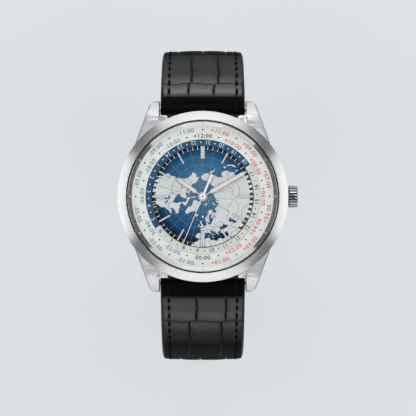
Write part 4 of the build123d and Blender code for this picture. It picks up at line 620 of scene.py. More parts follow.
# %% Bezel and glass
rim_radius, rim_height, slope_run, slope_rise, fullness = 20.8, 9.75, 2.1, 1.45, 0.06
slope_radius = np.linspace(20.72, 18.78, 9)
slope = (rim_radius - slope_radius) / slope_run
slope_height = rim_height + slope_rise * ((1 + fullness) * slope - fullness * slope**2)
bezel_profile = [
    (18.6, 10.1), (18.75, 10.1), (18.75, 8.9), (20.45, 8.9), (rim_radius, 9.3),
    (rim_radius, rim_height), *zip(slope_radius, slope_height), (18.7, 11.2), (18.6, 11.14),
]
turned(
    "bezel_finished", eased(bezel_profile, 0.05), bezel_satin, "bezel", 20.0
)

glass, tree, shader = finish(
    "coated sapphire", Base_Color=(1, 1, 1, 1), Roughness=0.0, IOR=1.13, Transmission_Weight=1.0
)
clear = node(tree, "ShaderNodeBsdfTransparent", {"Color": (0.97, 0.98, 0.985, 1)})
rays = node(tree, "ShaderNodeLightPath").outputs
mix_in(shader, maths("MAXIMUM", rays["Is Shadow Ray"], rays["Is Diffuse Ray"]), clear)
coat(glass, "crystal", "back_crystal")

rubber, tree, shader = finish("seal rubber", Base_Color=srgb(20, 20, 21), Roughness=0.55)
paint(shader, Normal=bump(touched(tree, 900.0)["Mask"], 8e-6))
coat(rubber, "back_gasket", "crown_seal")
# The upright part is the real seal. The flat lip from 18.12 to 18.4 mm is a dark ring of painted
# shade over the flange's outer edge.
gasket_with_shadow_lip = [(18.12, 10.1), (18.6, 10.1), (18.6, 11.1), (18.4, 11.1), (18.4, 10.2), (18.12, 10.2)]
turned("crystal_gasket_with_shadow_lip", gasket_with_shadow_lip, rubber, "crystal_gasket")
dressed("case_back", back_satin, 0.06, "satin_steel")
print("glass, seals and back are finished")

# %% [markdown]
# ## Ink and thin plates
#
# Numerals, dots and ticks are printed: a film of ink about a hundredth of a millimetre high.
# Dots and bars are thin plates cut from an outline. Angles on the dial are counted as a
# clock does, from 12 and to the right.


# %% Ink
film = 0.012


def on_clock(radius, clock):
    """x = r sin a, y = r cos a, with a clockwise from 12 in degrees."""
    angle = np.radians(clock)
    return np.stack([radius * np.sin(angle), radius * np.cos(angle)], -1)


def plate_piece(name, outlines, low, high, body, material):
    """Flat plates from outlines (k, n, 2), with top, bottom and sides, as one piece."""
    ahead = np.roll(outlines, -1, 1)
    area = (outlines[..., 0] * ahead[..., 1] - ahead[..., 0] * outlines[..., 1]).sum(1)
    outlines = np.where(area[:, None, None] > 0, outlines, outlines[:, ::-1])
    count, corners = outlines.shape[:2]
    levels = [np.full((count, corners, 1), level) for level in (high, low)]
    points = np.concatenate([np.concatenate([outlines, level], -1) for level in levels])
    upper = np.arange(count * corners).reshape(count, corners)
    lower, following = upper + count * corners, np.roll(upper, -1, 1)
    sides = np.stack([upper, lower, following + count * corners, following], -1)
    faces = [*upper.tolist(), *lower[:, ::-1].tolist(), *sides.reshape(-1, 4).tolist()]
    mesh = bpy.data.meshes.new(name)
    mesh.from_pydata((points.reshape(-1, 3) * MM).tolist(), [], faces)
    mesh.update()
    return piece(name, mesh, body, material, 30.0)


def bars(clocks, inner, outer, width):
    """Radial bars: four corners each, from the inner to the outer radius."""
    clocks = np.asarray(clocks, float)
    ends = np.stack(np.broadcast_arrays(inner, outer, outer, inner), -1)
    ends = np.broadcast_to(ends, (len(clocks), 4))
    out = on_clock(1.0, clocks)[:, None]
    side = np.stack([out[..., 1], -out[..., 0]], -1)
    return out * ends[..., None] + side * (np.array([-1, -1, 1, 1]) * width / 2)[None, :, None]


def dots(clocks, radius, size, corners=16):
    """Small discs on a circle."""
    turn = np.linspace(0, TURN, corners, endpoint=False)
    rim = np.stack([np.cos(turn), np.sin(turn)], -1) * size
    centres = on_clock(radius, np.asarray(clocks, float))
    return centres[:, None] + rim


print("ink", film, "mm thick")

# %% [markdown]
# ## Lettering
#
# Blender's built-in font gives the letters as a flat mesh. Each word is then bent round the
# ring in numpy: the distance along the line becomes an angle and the letter's height a
# radius. A word stands with its foot towards the centre or towards the rim, whichever way
# round it should be read.


# %% Lettering
def flat_word(words, size, spacing, weight):
    """Blender's own lettering as a mesh in mm, centred on its base line."""
    curve = adjusted(
        bpy.data.curves.new(words, "FONT"), body=words, size=size, space_character=spacing,
        align_x="CENTER", extrude=film / 2, offset=weight, resolution_u=4,
    )
    return curve_mesh(words, curve)


def ring_lettering(name, words, clocks, base_radius, outward_base, height, body, material, **style):
    """Words bent round a ring: angle = clock -+ x / r, radius = base -+ y, z = height + z."""
    half_letter = 0.35
    work = bmesh.new()
    radii = np.broadcast_to(base_radius, len(words))
    for word, clock, base, turned_out in zip(words, clocks, radii, outward_base):
        mesh = flat_word(word, **style)
        flat = values_of(mesh.vertices, "co", 3).astype(float)
        sign = -1 if turned_out else 1
        middle = base + sign * half_letter * style["size"]
        places = on_clock(base + sign * flat[:, 1], clock + sign * np.degrees(flat[:, 0] / middle))
        bent = np.concatenate([places, height + flat[:, 2:]], 1) * MM
        mesh.vertices.foreach_set("co", bent.astype(np.float32).ravel())
        work.from_mesh(mesh)
        bpy.data.meshes.remove(mesh)
    mesh = bpy.data.meshes.new(name)
    work.to_mesh(mesh)
    work.free()
    return piece(name, mesh, body, material)


print("letters are ready")

# %% [markdown]
# ## Inks and lacquers
#
# Printed ink has a slight gloss and a slightly uneven film. The two rings are lacquer over
# brass: very smooth, with the faintest orange peel, in two close shades in soft patches, as
# a rolled lacquer is.


# %% Inks
def ink(name, colour):
    """Screen-printed ink: half gloss, with a slightly uneven film."""
    made, tree, shader = finish(name, Roughness=0.45, Coat_Weight=0.15)
    pale = toned(colour, 1.12, 0.01)
    paint(shader, Base_Color=blend_colours(touched(tree, 2500.0)["Mask"], colour, pale))
    return made


def peel(tree):
    """Orange peel: a normal with shallow waves of about half a millimetre."""
    return bump(noise(place_of(tree), 2400.0), 1.2e-6)


black_ink = ink("black ink", srgb(34, 36, 38))
teal_ink = ink("teal ink", srgb(64, 136, 148))
red_ink = ink("red ink", srgb(205, 84, 92))
white_ink = ink("white ink", srgb(238, 240, 240))
pale_ink = ink("pale ink", srgb(202, 222, 224))
slate_ink = ink("slate ink", srgb(88, 108, 114))

cream_lacquer, tree, shader = finish(
    "cream lacquer", Roughness=0.35, Coat_Weight=0.5, Coat_Roughness=0.06
)
uneven = touched(tree, 260.0)["Mask"]
cream = blend_colours(uneven, srgb(238, 239, 234), srgb(231, 231, 225))
paint(shader, Base_Color=cream, Normal=peel(tree))
coat(cream_lacquer, "city_ring")
print("inks and cream lacquer")

# %% [markdown]
# ## The ring of 24 hours
#
# Half of this ring is night blue and half is cream, so that a glance tells day from night in
# every zone. The parting line is a straight line through the centre: a point is in the night
# when x sin a + y cos a is over zero. The pattern reads the ring's own coordinates, so it
# turns with the ring.

# %% Day and night
night_middle = 326.0
east, north = math.sin(math.radians(night_middle)), math.cos(math.radians(night_middle))
day_night, tree, shader = finish(
    "day and night lacquer", Roughness=0.32, Coat_Weight=0.5, Coat_Roughness=0.06
)
x, y, _ = parts_of(place_of(tree))
night = scaled(maths("ADD", times(x, east), times(y, north)), 20000.0, 0.5, clamp=True)
uneven = touched(tree, 320.0)["Mask"]
day_shade = blend_colours(uneven, srgb(224, 224, 216), srgb(214, 216, 210))
night_shade = blend_colours(uneven, srgb(8, 66, 104), srgb(18, 82, 122))
paint(shader, Base_Color=blend_colours(night, day_shade, night_shade), Normal=peel(tree))
coat(day_night, "hour_ring_24")


def in_the_night(clock):
    """True where a clock angle lies in the night half."""
    return np.abs((clock - night_middle + 180) % 360 - 180) < 90


hours = np.arange(1, 25)
hour_clock = 5.5 + (21 - hours) * 15.0
ring_ink_height = 8.8
for label, dark, numeral_ink, dot_ink, weight in (
    ("night", True, pale_ink, white_ink, 0.0),
    ("day", False, black_ink, black_ink, 0.018),
):
    chosen = in_the_night(hour_clock) == dark
    between = hour_clock[chosen] + 7.5
    between = between[in_the_night(between) == dark]
    ring_lettering(
        f"{label}_numerals", [str(hour) for hour in hours[chosen]], hour_clock[chosen], 13.66,
        np.full(chosen.sum(), True), ring_ink_height, "day_ring", numeral_ink,
        size=1.36, spacing=1.05, weight=weight,
    )
    plate_piece(
        f"{label}_dots", dots(between, 13.17, 0.15), ring_ink_height, ring_ink_height + film,
        "day_ring", dot_ink,
    )
print("hours in the night:", hours[in_the_night(hour_clock)].tolist())

# %% [markdown]
# ## The outer ring and its offsets
#
# A world time watch names a place for each zone. Here each zone carries its plain offset
# from Universal Time instead, in two staggered rows: teal west of the zero line, red east of
# it, and black on the line and opposite. Words in the upper half stand on their inner edge
# and words in the lower half on their outer edge, so that they read upright.

# %% Offsets
zone_clock = np.arange(-165, 181, 15)
steps_from_zero = np.where(zone_clock > 0, (180 - zone_clock) / 15, -(180 + zone_clock) / 15)
steps_from_zero = np.where(zone_clock == 0, 12, steps_from_zero).astype(int)
words = [f"{step:+03d}:00" if step else "00:00" for step in steps_from_zero]
lower_half = np.abs(zone_clock) > 97
near_row, far_row = 14.83, 16.28
word_radius = np.where(zone_clock % 30 == 0, near_row, far_row)
mark_radius = np.where(zone_clock % 30 == 0, far_row, near_row)
base_radius = word_radius + np.where(lower_half, 0.5, -0.5)
ring_top = 9.05
on_line = (zone_clock == 0) | (zone_clock == 180)
for colour, zone_ink, chosen in (
    ("black", black_ink, on_line),
    ("teal", teal_ink, (zone_clock < 0) & ~on_line),
    ("red", red_ink, (zone_clock > 0) & ~on_line),
):
    picked = np.flatnonzero(chosen)
    ring_lettering(
        f"zone_offsets_{colour}", [words[place] for place in picked], zone_clock[picked],
        base_radius[picked], lower_half[picked], ring_top, "case", zone_ink,
        size=1.36, spacing=1.2, weight=0.03,
    )
day_side = bars(night_middle + np.arange(90.5, 270, 1.0), 14.02, 14.09, 0.247)
plate_piece("day_side_line", day_side, ring_top, ring_top + 0.008, "case", slate_ink)
marks = dots(zone_clock, mark_radius, 0.2)
plate_piece("zone_marks", marks, ring_top, ring_top + film, "case", black_ink)
dash_clocks = (zone_clock[lower_half, None] + np.array([-9.2, -8.2, -7.2])).ravel()
dashes = dots(dash_clocks, np.repeat(word_radius[lower_half] + 0.4, 3), 0.07, 8)
plate_piece("zone_dashes", dashes, ring_top, ring_top + film, "case", slate_ink)
print("zones:", dict(zip(zone_clock.tolist(), words)))

# %% [markdown]
# ## The sloping flange
#
# Between the ring and the glass stands a polished cone that hides the edge of the ring. It
# mirrors the soft boxes above 12 and below 6 and stays dark at 3 and 9, which gives the dial
# its depth. Small pale dots mark the hours at its foot.

# %% Flange
flange_profile = [
    (17.2, 9.05), (17.5, 9.05), (17.5, 8.9), (18.7, 8.9), (18.7, 10.1), (18.55, 10.1),
    (18.5, 9.86), (18.42, 9.8132), (17.3, 9.1585), (17.2, 9.1),
]
flange_metal = polished_metal("flange polish", srgb(208, 209, 208), 0.1)
turned(
    "flange_ring_finished", eased(flange_profile, 0.03), flange_metal, "flange_ring",
)
lume, tree, shader = finish(
    "cream lume", Roughness=0.6, Subsurface_Weight=0.15,
    Subsurface_Radius=(0.0002, 0.00018, 0.00014),
)
grains = noise(place_of(tree), 9000.0, 3.0)
cream = blend_colours(grains, srgb(214, 210, 202), srgb(230, 226, 218))
paint(shader, Base_Color=cream, Normal=bump(grains, 12e-6))
hour_dots = dots(np.arange(12) * 30.0, 17.66, 0.2, 12)
plate_piece("hour_pips", hour_dots, 9.2, 9.53, "case", lume)
print("flange and", len(hour_dots), "hour dots")

# %% [markdown]
# ## The sea
#
# The dial is the northern half of the globe seen from above the pole. The sea is a
# transparent blue lacquer that darkens towards the rim. It is also painted lighter towards 12
# and almost black at the lower rim: painted light and shade from the lamps above 12. Faint
# meridians and parallels are engraved under it. They are worked out in the material: a
# parallel is a ring of even radius, a meridian a ray of even angle.

# %% Sea lacquer
map_radius, rim_latitude = 12.4, 25.5
sea, tree, shader = finish(
    "sea lacquer", Roughness=0.35, Specular_IOR_Level=0.1, Coat_Weight=0.2, Coat_Roughness=0.05
)
x, y, _ = parts_of(place_of(tree))
radius = span_of(x, y)
outward_share, across_share, upward_share = (
    maths("DIVIDE", value, map_radius * MM) for value in (radius, x, y)
)
clouds = noise(place_of(tree), 420.0, 6.0)
depth = scaled(outward_share, 0.35, times(maths("POWER", outward_share, 10.0), 0.65))
# Painted light and shade: lighter towards 12 and a little towards 3, darker towards 6, as the lamps
# above 12 light it.
depth = scaled(across_share, -0.02, scaled(upward_share, -0.15, depth))
depth = scaled(maths("SUBTRACT", clouds, 0.5), 0.12, depth)
ramp = node(tree, "ShaderNodeValToRGB", {"Fac": depth})
stops = ramp.color_ramp.elements
stops[0].color, stops[1].color = srgb(96, 132, 156), srgb(2, 4, 10)
for position, colour in (
    (0.1, (58, 106, 138)), (0.2, (38, 92, 128)), (0.3, (24, 80, 116)), (0.42, (10, 62, 94)),
    (0.55, (4, 40, 64)), (0.7, (5, 15, 32)),
):
    stops.new(position).color = srgb(*colour)


def from_whole(value):
    """How far a number is from the nearest whole one."""
    return maths("ABSOLUTE", maths("SUBTRACT", maths("FRACT", maths("ADD", value, 0.5)), 0.5))


meridians, parallels = 24, (90 - rim_latitude) / 10
engraved_width, engraved_strength = 0.08 * MM, 0.55
around = times(maths("ARCTAN2", y, x), meridians / TURN)
from_ray = times(from_whole(around), times(radius, TURN / meridians))
from_ring = times(from_whole(times(outward_share, parallels)), map_radius * MM / parallels)
nearest = maths("DIVIDE", maths("MINIMUM", from_ray, from_ring), engraved_width)
graticule = times(maths("SUBTRACT", 1.0, nearest, clamp=True), engraved_strength)
paint(
    shader, Base_Color=blend_colours(graticule, ramp.outputs["Color"], srgb(120, 160, 190)),
    Normal=bump(scaled(clouds, 0.2, graticule), 4e-6),
)
coat(sea, "dial")
print("sea lacquer with meridians every 15 degrees and parallels every 10")

# %% [markdown]
# ## Land
#
# The coasts are listed as longitudes and latitudes, from general geography.
# The map is an even-distance projection about the pole: the distance from the centre grows
# evenly with the distance from the pole, and Greenwich points to 6 o'clock. Each coast is
# then cut into short steps and roughened with seeded noise, because a real coast has no
# straight runs.

# %% Coasts
coast_step = 0.11
chance = np.random.default_rng(24)


def on_map(longitude, latitude):
    """r = 12.4 (90 - latitude) / (90 - 25.5), x = r sin longitude, y = -r cos longitude."""
    radius = map_radius * (90 - np.asarray(latitude, float)) / (90 - rim_latitude)
    radius = np.minimum(radius, map_radius - 0.12)
    angle = np.radians(longitude)
    return np.stack([radius * np.sin(angle), -radius * np.cos(angle)], -1)


def roughened(places, closed=True, rough=0.085):
    """Even steps along the line, moved by noise of three sizes, held inside the rim."""
    corners = np.array(places, float).reshape(-1, 2)
    if closed:
        corners = np.vstack([corners, corners[:1]])
    flat = on_map(*corners.T)
    run = np.concatenate([[0], np.cumsum(np.linalg.norm(np.diff(flat, axis=0), axis=1))])
    count = max(int(run[-1] / coast_step), 6)
    travel = np.linspace(0, run[-1], count, endpoint=not closed)
    line = on_map(np.interp(travel, run, corners[:, 0]), np.interp(travel, run, corners[:, 1]))
    for size, strength in ((0.8, 1.0), (0.35, 0.7), (0.16, 0.4)):
        knots = max(int(run[-1] / size), 4)
        pushes = chance.normal(size=(knots, 2)) * rough * strength
        pushes[-1] = pushes[0]
        at = np.linspace(0, run[-1], knots)
        line += np.stack([np.interp(travel, at, pushes[:, axis]) for axis in (0, 1)], -1)
    radius = np.linalg.norm(line, axis=1, keepdims=True)
    return line * np.minimum(1, (map_radius - 0.1) / radius)


coasts = [
    [-168, 65.7, -166, 68.3, -157, 71.3, -141, 69.7, -128, 70.2, -115, 68.3, -108, 68, -96, 68.2,
     -94, 72, -90, 69, -85, 69.7, -81.5, 68, -86.5, 66.3, -87, 64.5, -94, 61, -94.5, 58.8,
     -92.5, 57, -85, 55.3, -82.3, 53, -80.5, 51.3, -79, 52, -79, 54.5, -76.5, 57, -78.5, 59,
     -77.5, 62.5, -73, 62.3, -69.5, 61, -69.5, 58.8, -66, 58.8, -64.5, 60.3, -61.5, 57,
     -57.5, 54.5, -55.7, 52.3, -60, 50.2, -66.5, 50.2, -71, 46.9, -65, 48.9, -64.5, 46.5,
     -61, 45.6, -66, 43.6, -67, 44.8, -70.5, 43.3, -70, 41.7, -74, 40.6, -75.5, 37.5,
     -75.7, 35.3, -81, 32, -81.3, 30, -80.3, 26, -81.8, 26, -82.8, 28, -83.8, 30, -86, 30.4,
     -89.5, 30.2, -89.3, 29.1, -91.5, 29.4, -94.7, 29.4, -97.2, 27.7, -97.3, 25, -98, 23,
     -105, 23, -109, 24, -109.3, 25.6, -111, 28, -113, 31.2, -114.7, 31.6, -113, 28.5,
     -111.2, 25.5, -112, 25, -114.2, 27.2, -116, 30.3, -117.2, 32.7, -120.6, 34.5, -122.5, 37.5,
     -124.3, 40.4, -124, 46.2, -124.6, 48.4, -122.8, 49, -127.5, 51, -130.3, 54.5, -133.5, 57.5,
     -139.5, 59.7, -146, 60.7, -151.5, 59.3, -151, 61, -154, 58.8, -158.5, 56.2, -163, 54.8,
     -160, 56.2, -157.5, 58.5, -162, 58.7, -165, 60.8, -164.5, 63, -161, 64.3, -166, 64.5],
    [-73, 78.3, -66, 80.8, -50, 82.2, -33, 83.6, -20, 82, -12, 81.4, -19, 79, -19, 75.5,
     -22, 72.5, -23, 70.3, -32, 68.2, -38, 65.7, -43, 60, -48, 61, -52, 64.5, -53.5, 67.5,
     -51, 69.8, -55, 72, -58, 75.3, -68, 76],
    [-61.5, 66.6, -64.5, 63.3, -72, 62, -78, 64.5, -73.5, 65.6, -72, 67.5, -76, 69.3, -88, 70.7,
     -90, 72.8, -85, 73.8, -80, 73.7, -75, 71.8, -68, 70],
    [-115, 69.2, -105, 69, -101.5, 69.8, -105, 72.8, -117, 73, -118, 71.3],
    [-125, 71.9, -119.5, 73.3, -124, 74.3], [-80, 75.6, -92, 76.5, -92, 74.8, -82, 74.6],
    [-78, 76.3, -89, 76.4, -86, 78.5, -92, 80, -86, 82, -70, 83.1, -62, 82.3, -72, 79.5],
    [-105.5, 75.9, -116, 76.3, -117, 75, -106, 74.9], [-97, 73.8, -102, 72.8, -98, 71.5],
    [-96, 80.6, -92, 79.5, -95, 78.5, -100, 79.5], [-81, 64, -86.5, 65.8, -87, 63.7],
    [-55.5, 51.5, -53, 47, -59, 47.7], [-132, 54, -131, 52, -133, 53.5],
    [-24, 65.5, -22, 64, -18.5, 63.4, -13.6, 65, -16, 66.5, -22, 66.4],
    [-5, 58.6, -2, 57.5, -3, 56, 0.3, 53.2, 1.7, 52.6, 1.3, 51.2, -5.5, 50.1, -3, 51.5, -5, 52,
     -3, 54, -5.5, 56], [-7, 55.2, -10, 52, -6.3, 52.2, -6, 54],
    [11, 79.5, 17, 76.7, 27, 80, 18, 80.3],
    [52, 71.5, 57, 70.7, 60, 74, 68, 76.7, 60, 76, 54, 73.5], [95, 79.5, 105, 78.5, 97, 81],
    [137, 75.5, 150, 75, 142, 76.3], [45, 80.3, 62, 81, 52, 81.4],
    [142, 54, 143, 49, 142.5, 46, 141.8, 52], [140, 42, 143.2, 42, 145.5, 43.3, 141.7, 45.4],
    [141, 41.4, 142, 39.5, 140.8, 35.7, 137, 34.6, 135, 33.5, 131, 34, 133, 35.6, 136.8, 37.2,
     139.8, 40], [130, 33.8, 131.8, 32, 130.3, 31.2], [12.5, 38, 15.6, 38.2, 15, 36.7],
    [8.4, 39, 9.7, 39.2, 9.3, 42.8], [23.6, 35.5, 26.3, 35.2, 24.8, 34.8],
    [-9.5, 38.7, -9, 43, -1.5, 43.5, -1.5, 46.5, -4.7, 48.4, 0, 49.6, 2, 51, 4.5, 52.5, 8.5, 53.8,
     8.3, 57, 10.6, 57.7, 10, 54.8, 14, 54, 18.5, 54.8, 21, 55.3, 21.5, 57.5, 24, 57.3,
     23.5, 59.2, 29, 60, 25, 60.2, 21.5, 61, 25.3, 65, 22, 65.8, 17.5, 62, 18.8, 60, 16.5, 57.5,
     14.3, 55.5, 12.8, 55.6, 11, 59, 7, 58, 5, 60.5, 6, 62.6, 13, 66, 18.5, 69.8, 25.7, 71.1,
     31, 70.3, 41.2, 66.9, 33, 66.7, 37.5, 64, 40.5, 64.7, 44, 66.2, 44, 68.5, 54, 68.5,
     60, 69, 67, 68.8, 67, 72.5, 73, 71.5, 73.5, 67.5, 75, 72.8, 81, 73.5, 87, 75, 98, 76.3,
     104.3, 77.7, 113, 74, 127, 73.3, 130, 71, 140, 72.7, 152, 71, 160, 69.8, 170, 69.9,
     180, 69, 185, 67.3, 190, 66, 182, 65.5, 187, 64.3, 179, 62.5, 170.5, 60, 164, 59.8,
     163, 57.8, 162, 56, 156.7, 51, 155.6, 56, 163.5, 61.8, 160, 61.5, 155, 59.5, 149, 59.5,
     142, 59, 135.5, 54.7, 141, 53, 140.5, 48.5, 135.5, 44, 132, 43.2, 130, 42.3, 127.5, 39.7,
     129.4, 37, 129, 35.2, 126.5, 34.5, 126.5, 37.5, 124.8, 39.8, 121.5, 39, 121.8, 40.8,
     118, 39, 119, 37.3, 122.5, 37.3, 119.3, 35, 121.8, 31.7, 121.5, 28.5, 119, 25.3, 118, 23,
     100, 23, 80, 23, 68.5, 23.8, 66.5, 25.4, 61.5, 25.6, 57.5, 25.9, 56.5, 27, 52, 27.6,
     50, 30, 48, 30, 50, 26.8, 50.5, 24, 45, 23, 38, 23, 37, 25.5, 35, 28, 34.9, 29.5,
     34.2, 27.8, 32.5, 29.9, 34, 26.6, 35, 23, 20, 23, 0, 23, -14, 23, -14.8, 25.9, -13, 27.8,
     -10, 29.5, -9.8, 31.5, -6, 34.5, -5.5, 35.8, -2, 35.2, 3, 36.9, 10, 37.3, 11, 35,
     10.2, 34, 15, 32.3, 19.5, 30.4, 20.5, 32.6, 23, 32.6, 25, 31.6, 30, 31.2, 32.5, 31.2,
     34.5, 31.5, 35.9, 35.5, 36, 36.8, 30.5, 36.5, 27.5, 37, 26.3, 39.5, 28, 40.8, 26.5, 40.6,
     23, 40.3, 24, 38, 22.8, 36.5, 21, 38.5, 19.5, 41.5, 13.7, 45.5, 12.3, 44.5, 16, 41.5,
     18.4, 40, 16.5, 39.5, 16, 38, 15, 40.2, 10.5, 43, 8, 44, 3.3, 43.2, 3, 41.7, -0.3, 39.3,
     -1, 37.5, -5.4, 36.1, -9, 37],
]
inland_seas = [
    [28, 43, 28, 41.7, 31.5, 41.2, 38.5, 41, 41.6, 41.8, 39, 44, 37, 45, 39, 47.2, 35, 46.2,
     33.5, 44.5, 31, 46.5, 29.5, 45],
    [47, 45, 51, 47, 53, 46.5, 53, 45, 50.5, 44.5, 53, 42, 53.8, 37, 50, 37.4, 49.5, 40.3,
     47.5, 43], [58.5, 44.5, 61.5, 46.5, 59, 46], [104, 51.6, 109.8, 55.6, 106.5, 52.5],
    [31, 60, 33, 61, 31, 61.5], [-92, 46.8, -88, 48.8, -84.7, 46.6, -88, 46.8],
    [-87.8, 41.8, -86.3, 42.2, -85.5, 45, -87.5, 44.5], [-83.8, 45.6, -82.4, 43.2, -80, 44.8],
    [-83.2, 41.7, -79, 42.8, -81, 42.8], [-122, 65.5, -119, 67, -118, 66],
    [-116, 61.2, -110, 62.8, -112, 61.3], [-97, 50.5, -98.5, 53.6, -96.5, 52],
]
shores = [roughened(places) for places in coasts]
shores += [roughened(places, rough=0.04) for places in inland_seas]
print("coasts:", len(coasts), "seas:", len(inland_seas), "points:", sum(map(len, shores)))

# %% [markdown]
# ## The plate of land
#
# All the shores go into one flat curve. Blender fills it, and leaves the inland seas open
# because they lie inside another outline. The plate is about a fiftieth of a millimetre
# thick.


# %% Land plate
land_low, land_high = 8.85, 8.872


def filled(name, outlines, low, high):
    """A filled 2D curve with holes, given thickness and made a mesh."""
    curve = adjusted(
        bpy.data.curves.new(name, "CURVE"), dimensions="2D", fill_mode="BOTH",
        extrude=(high - low) / 2 * MM,
    )
    for outline in outlines:
        spline = curve.splines.new("POLY")
        spline.points.add(len(outline) - 1)
        flat = np.concatenate([outline * MM, np.tile([0.0, 1.0], (len(outline), 1))], 1)
        spline.points.foreach_set("co", flat.astype(np.float32).ravel())
        spline.use_cyclic_u = True
    mesh = curve_mesh(name, curve)
    points = values_of(mesh.vertices, "co", 3)
    points[:, 2] += (low + high) / 2 * MM
    mesh.vertices.foreach_set("co", points.ravel())
    mesh.update()
    return outward(mesh)


land_silver, tree, shader = finish("land silver", Metallic=0.25, Roughness=0.42)
tone = blend_colours(noise(place_of(tree), 330.0, 5.0), srgb(195, 198, 199), srgb(216, 217, 215))
paint(shader, Base_Color=tone, Normal=bump(noise(place_of(tree), 5200.0), 1.5e-6))
piece("land", filled("land", shores, land_low, land_high), "case", land_silver)
print("land from", len(shores), "shores")

# %% [markdown]
# ## Coast lines and borders
#
# Coasts and borders are printed as ribbons. Each point of a line is moved half the ribbon's
# width to either side, at a right angle to the run between its neighbours.


# %% Map lines
def line_piece(name, lines, width, height, material, closed=False):
    """Printed lines on the case's dial: each line moved half the width to either side."""
    points, faces, first = [], [], 0
    for line in lines:
        if closed:
            ahead, behind = np.roll(line, -1, 0), np.roll(line, 1, 0)
        else:
            ahead = np.vstack([line[1:], 2 * line[-1:] - line[-2:-1]])
            behind = np.vstack([2 * line[:1] - line[1:2], line[:-1]])
        along = ahead - behind
        along /= np.maximum(np.linalg.norm(along, axis=1, keepdims=True), 1e-9)
        side = np.stack([-along[:, 1], along[:, 0]], -1) * width / 2
        points.append(np.stack([line + side, line - side], 1).reshape(-1, 2))
        down, across = grid_faces(len(line), 2, wrap_rows=closed)
        faces.append(first + (down % len(line)) * 2 + across)
        first += 2 * len(line)
    flat = np.concatenate(points)
    points = np.concatenate([flat, np.full((len(flat), 1), height)], 1)
    piece(name, mesh_of(name, points, np.concatenate(faces)), "case", material)


border_ink = ink("border ink", srgb(56, 66, 82))
line_width = 0.075
line_piece("coast_lines", shores, line_width, land_high + 0.004, border_ink, closed=True)
borders = [
    [-123, 49, -95, 49, -89, 48.2], [-82, 43, -79, 43.3, -75, 45, -71, 45.2, -68, 47.3],
    [-141, 69.6, -141, 60.3, -130.5, 56], [-120, 49, -120, 60], [-110, 49, -110, 60],
    [-102, 49, -102, 60, -95, 60], [-136, 60, -102, 60], [-95, 60, -95, 49],
    [-79.5, 51, -79.5, 46, -75, 45],
    [-117, 32.5, -111, 31.3, -106.5, 31.8, -103, 29, -99.5, 27.5, -97.3, 25.9],
    [-114, 42, -114, 32], [-103, 45, -103, 32], [-91, 47, -91, 37, -90, 30], [-85, 41, -85, 31],
    [48, 46.5, 48, 50, 55, 51, 61, 51, 61.5, 54, 70, 55.2, 77, 53.5, 83, 51, 87, 49.2],
    [87.7, 49.2, 98, 52, 107, 49.7, 116, 49.8, 119.5, 47, 111, 44, 105, 41.8, 96, 42.8, 88, 48],
    [119.8, 49.8, 121, 53.3, 127, 50, 131, 47.7, 135, 48.4, 131, 43],
    [74, 37, 79, 32.5, 81, 30.2, 89, 27.5, 97, 28.3], [61, 25.6, 61, 35, 71, 37, 74, 37],
    [48.5, 30, 45.5, 34, 44.5, 39.5, 48, 39], [36.5, 36.8, 42, 37.2, 44, 39.5],
    [47.5, 29.5, 39, 32, 36, 29.3], [53.5, 37.5, 61, 36.5],
    [53, 41.5, 58, 42.5, 66, 42, 71, 42, 80, 45, 83, 48], [-1.7, 43.3, 3, 42.5],
    [3, 51, 6, 49.5, 7.6, 47.6, 7.5, 44], [14.3, 53.9, 15, 51, 18, 49.5, 22.5, 49],
    [23.5, 54, 23.5, 50.5, 30.8, 52], [30.8, 52, 38, 49.5, 38.2, 47.2],
    [27, 60.5, 30, 63, 29.5, 68],
    [12, 59, 12.5, 64, 20, 69], [7.6, 47.6, 13, 47.5, 17, 48, 22.5, 48, 28, 47.5, 29.5, 45.4],
    [13.7, 45.6, 19, 45.5, 20, 42, 23, 41.5], [-8.7, 27.3, -2, 30, -1.7, 35],
    [8.5, 37, 7.5, 33.5, 9.5, 30.2, 10, 25.6], [25, 31.6, 25, 25.6], [60, 69, 60, 55, 58, 51],
    [84, 73.5, 84, 60, 87, 50], [105, 76, 107, 63, 98, 52], [125, 73, 127, 62, 121, 53],
    [147, 72, 150, 63, 143, 59], [165, 69.8, 163, 62],
]
border_lines = [roughened(places, closed=False, rough=0.05) for places in borders]
line_piece("border_lines", border_lines, line_width, land_high + 0.003, border_ink)
print("coast lines and", len(borders), "borders")

# %% [markdown]
# ## Minute track
#
# Sixty printed ticks run round the dial. Over land they stand on small black blocks, so that
# they still read.

# %% Minute track
minutes = np.arange(60)
track_end = 12.28
ticks = bars(minutes[minutes % 5 != 0] * 6.0, 11.4, track_end, 0.11)
plate_piece("minute_ticks", ticks, land_high, 8.886, "case", white_ink)
over_land = np.concatenate([np.arange(*run, 6.0) for run in ((257, 300), (63, 100), (105, 124))])
deep_ink = ink("deep sea ink", srgb(10, 16, 28))
blocks = bars(over_land, 11.45, 12.22, 0.62)
plate_piece("minute_blocks", blocks, land_high, 8.88, "case", deep_ink)
print("ticks:", len(ticks), "blocks:", len(blocks))

# %% [markdown]
# ## Hour markers
#
# The markers are bars of finely frosted rhodium with cut edges, on dark beds painted as their
# shadows. Those at 3, 6 and 9 reach further in, and those at 12 and 6 are pairs. Two small
# dots flank the pole, and a dark line closes the edge of the dial.

# %% Hour markers
frosted, tree, shader = finish("frosted rhodium", Metallic=0.55)
frost = noise(place_of(tree), 14000.0)
paint(
    shader, Roughness=scaled(frost, 0.2, 0.2), Normal=bump(frost, 1e-6),
    Base_Color=blend_colours(frost, srgb(226, 228, 230), srgb(240, 241, 241)),
)
marker_low, marker_high = (corner[2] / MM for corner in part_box("hour_markers"))
marker_end, numbers = 12.25, np.arange(12)
inner_end = np.where(np.isin(numbers, [3, 6, 9]), 8.3, 9.15)


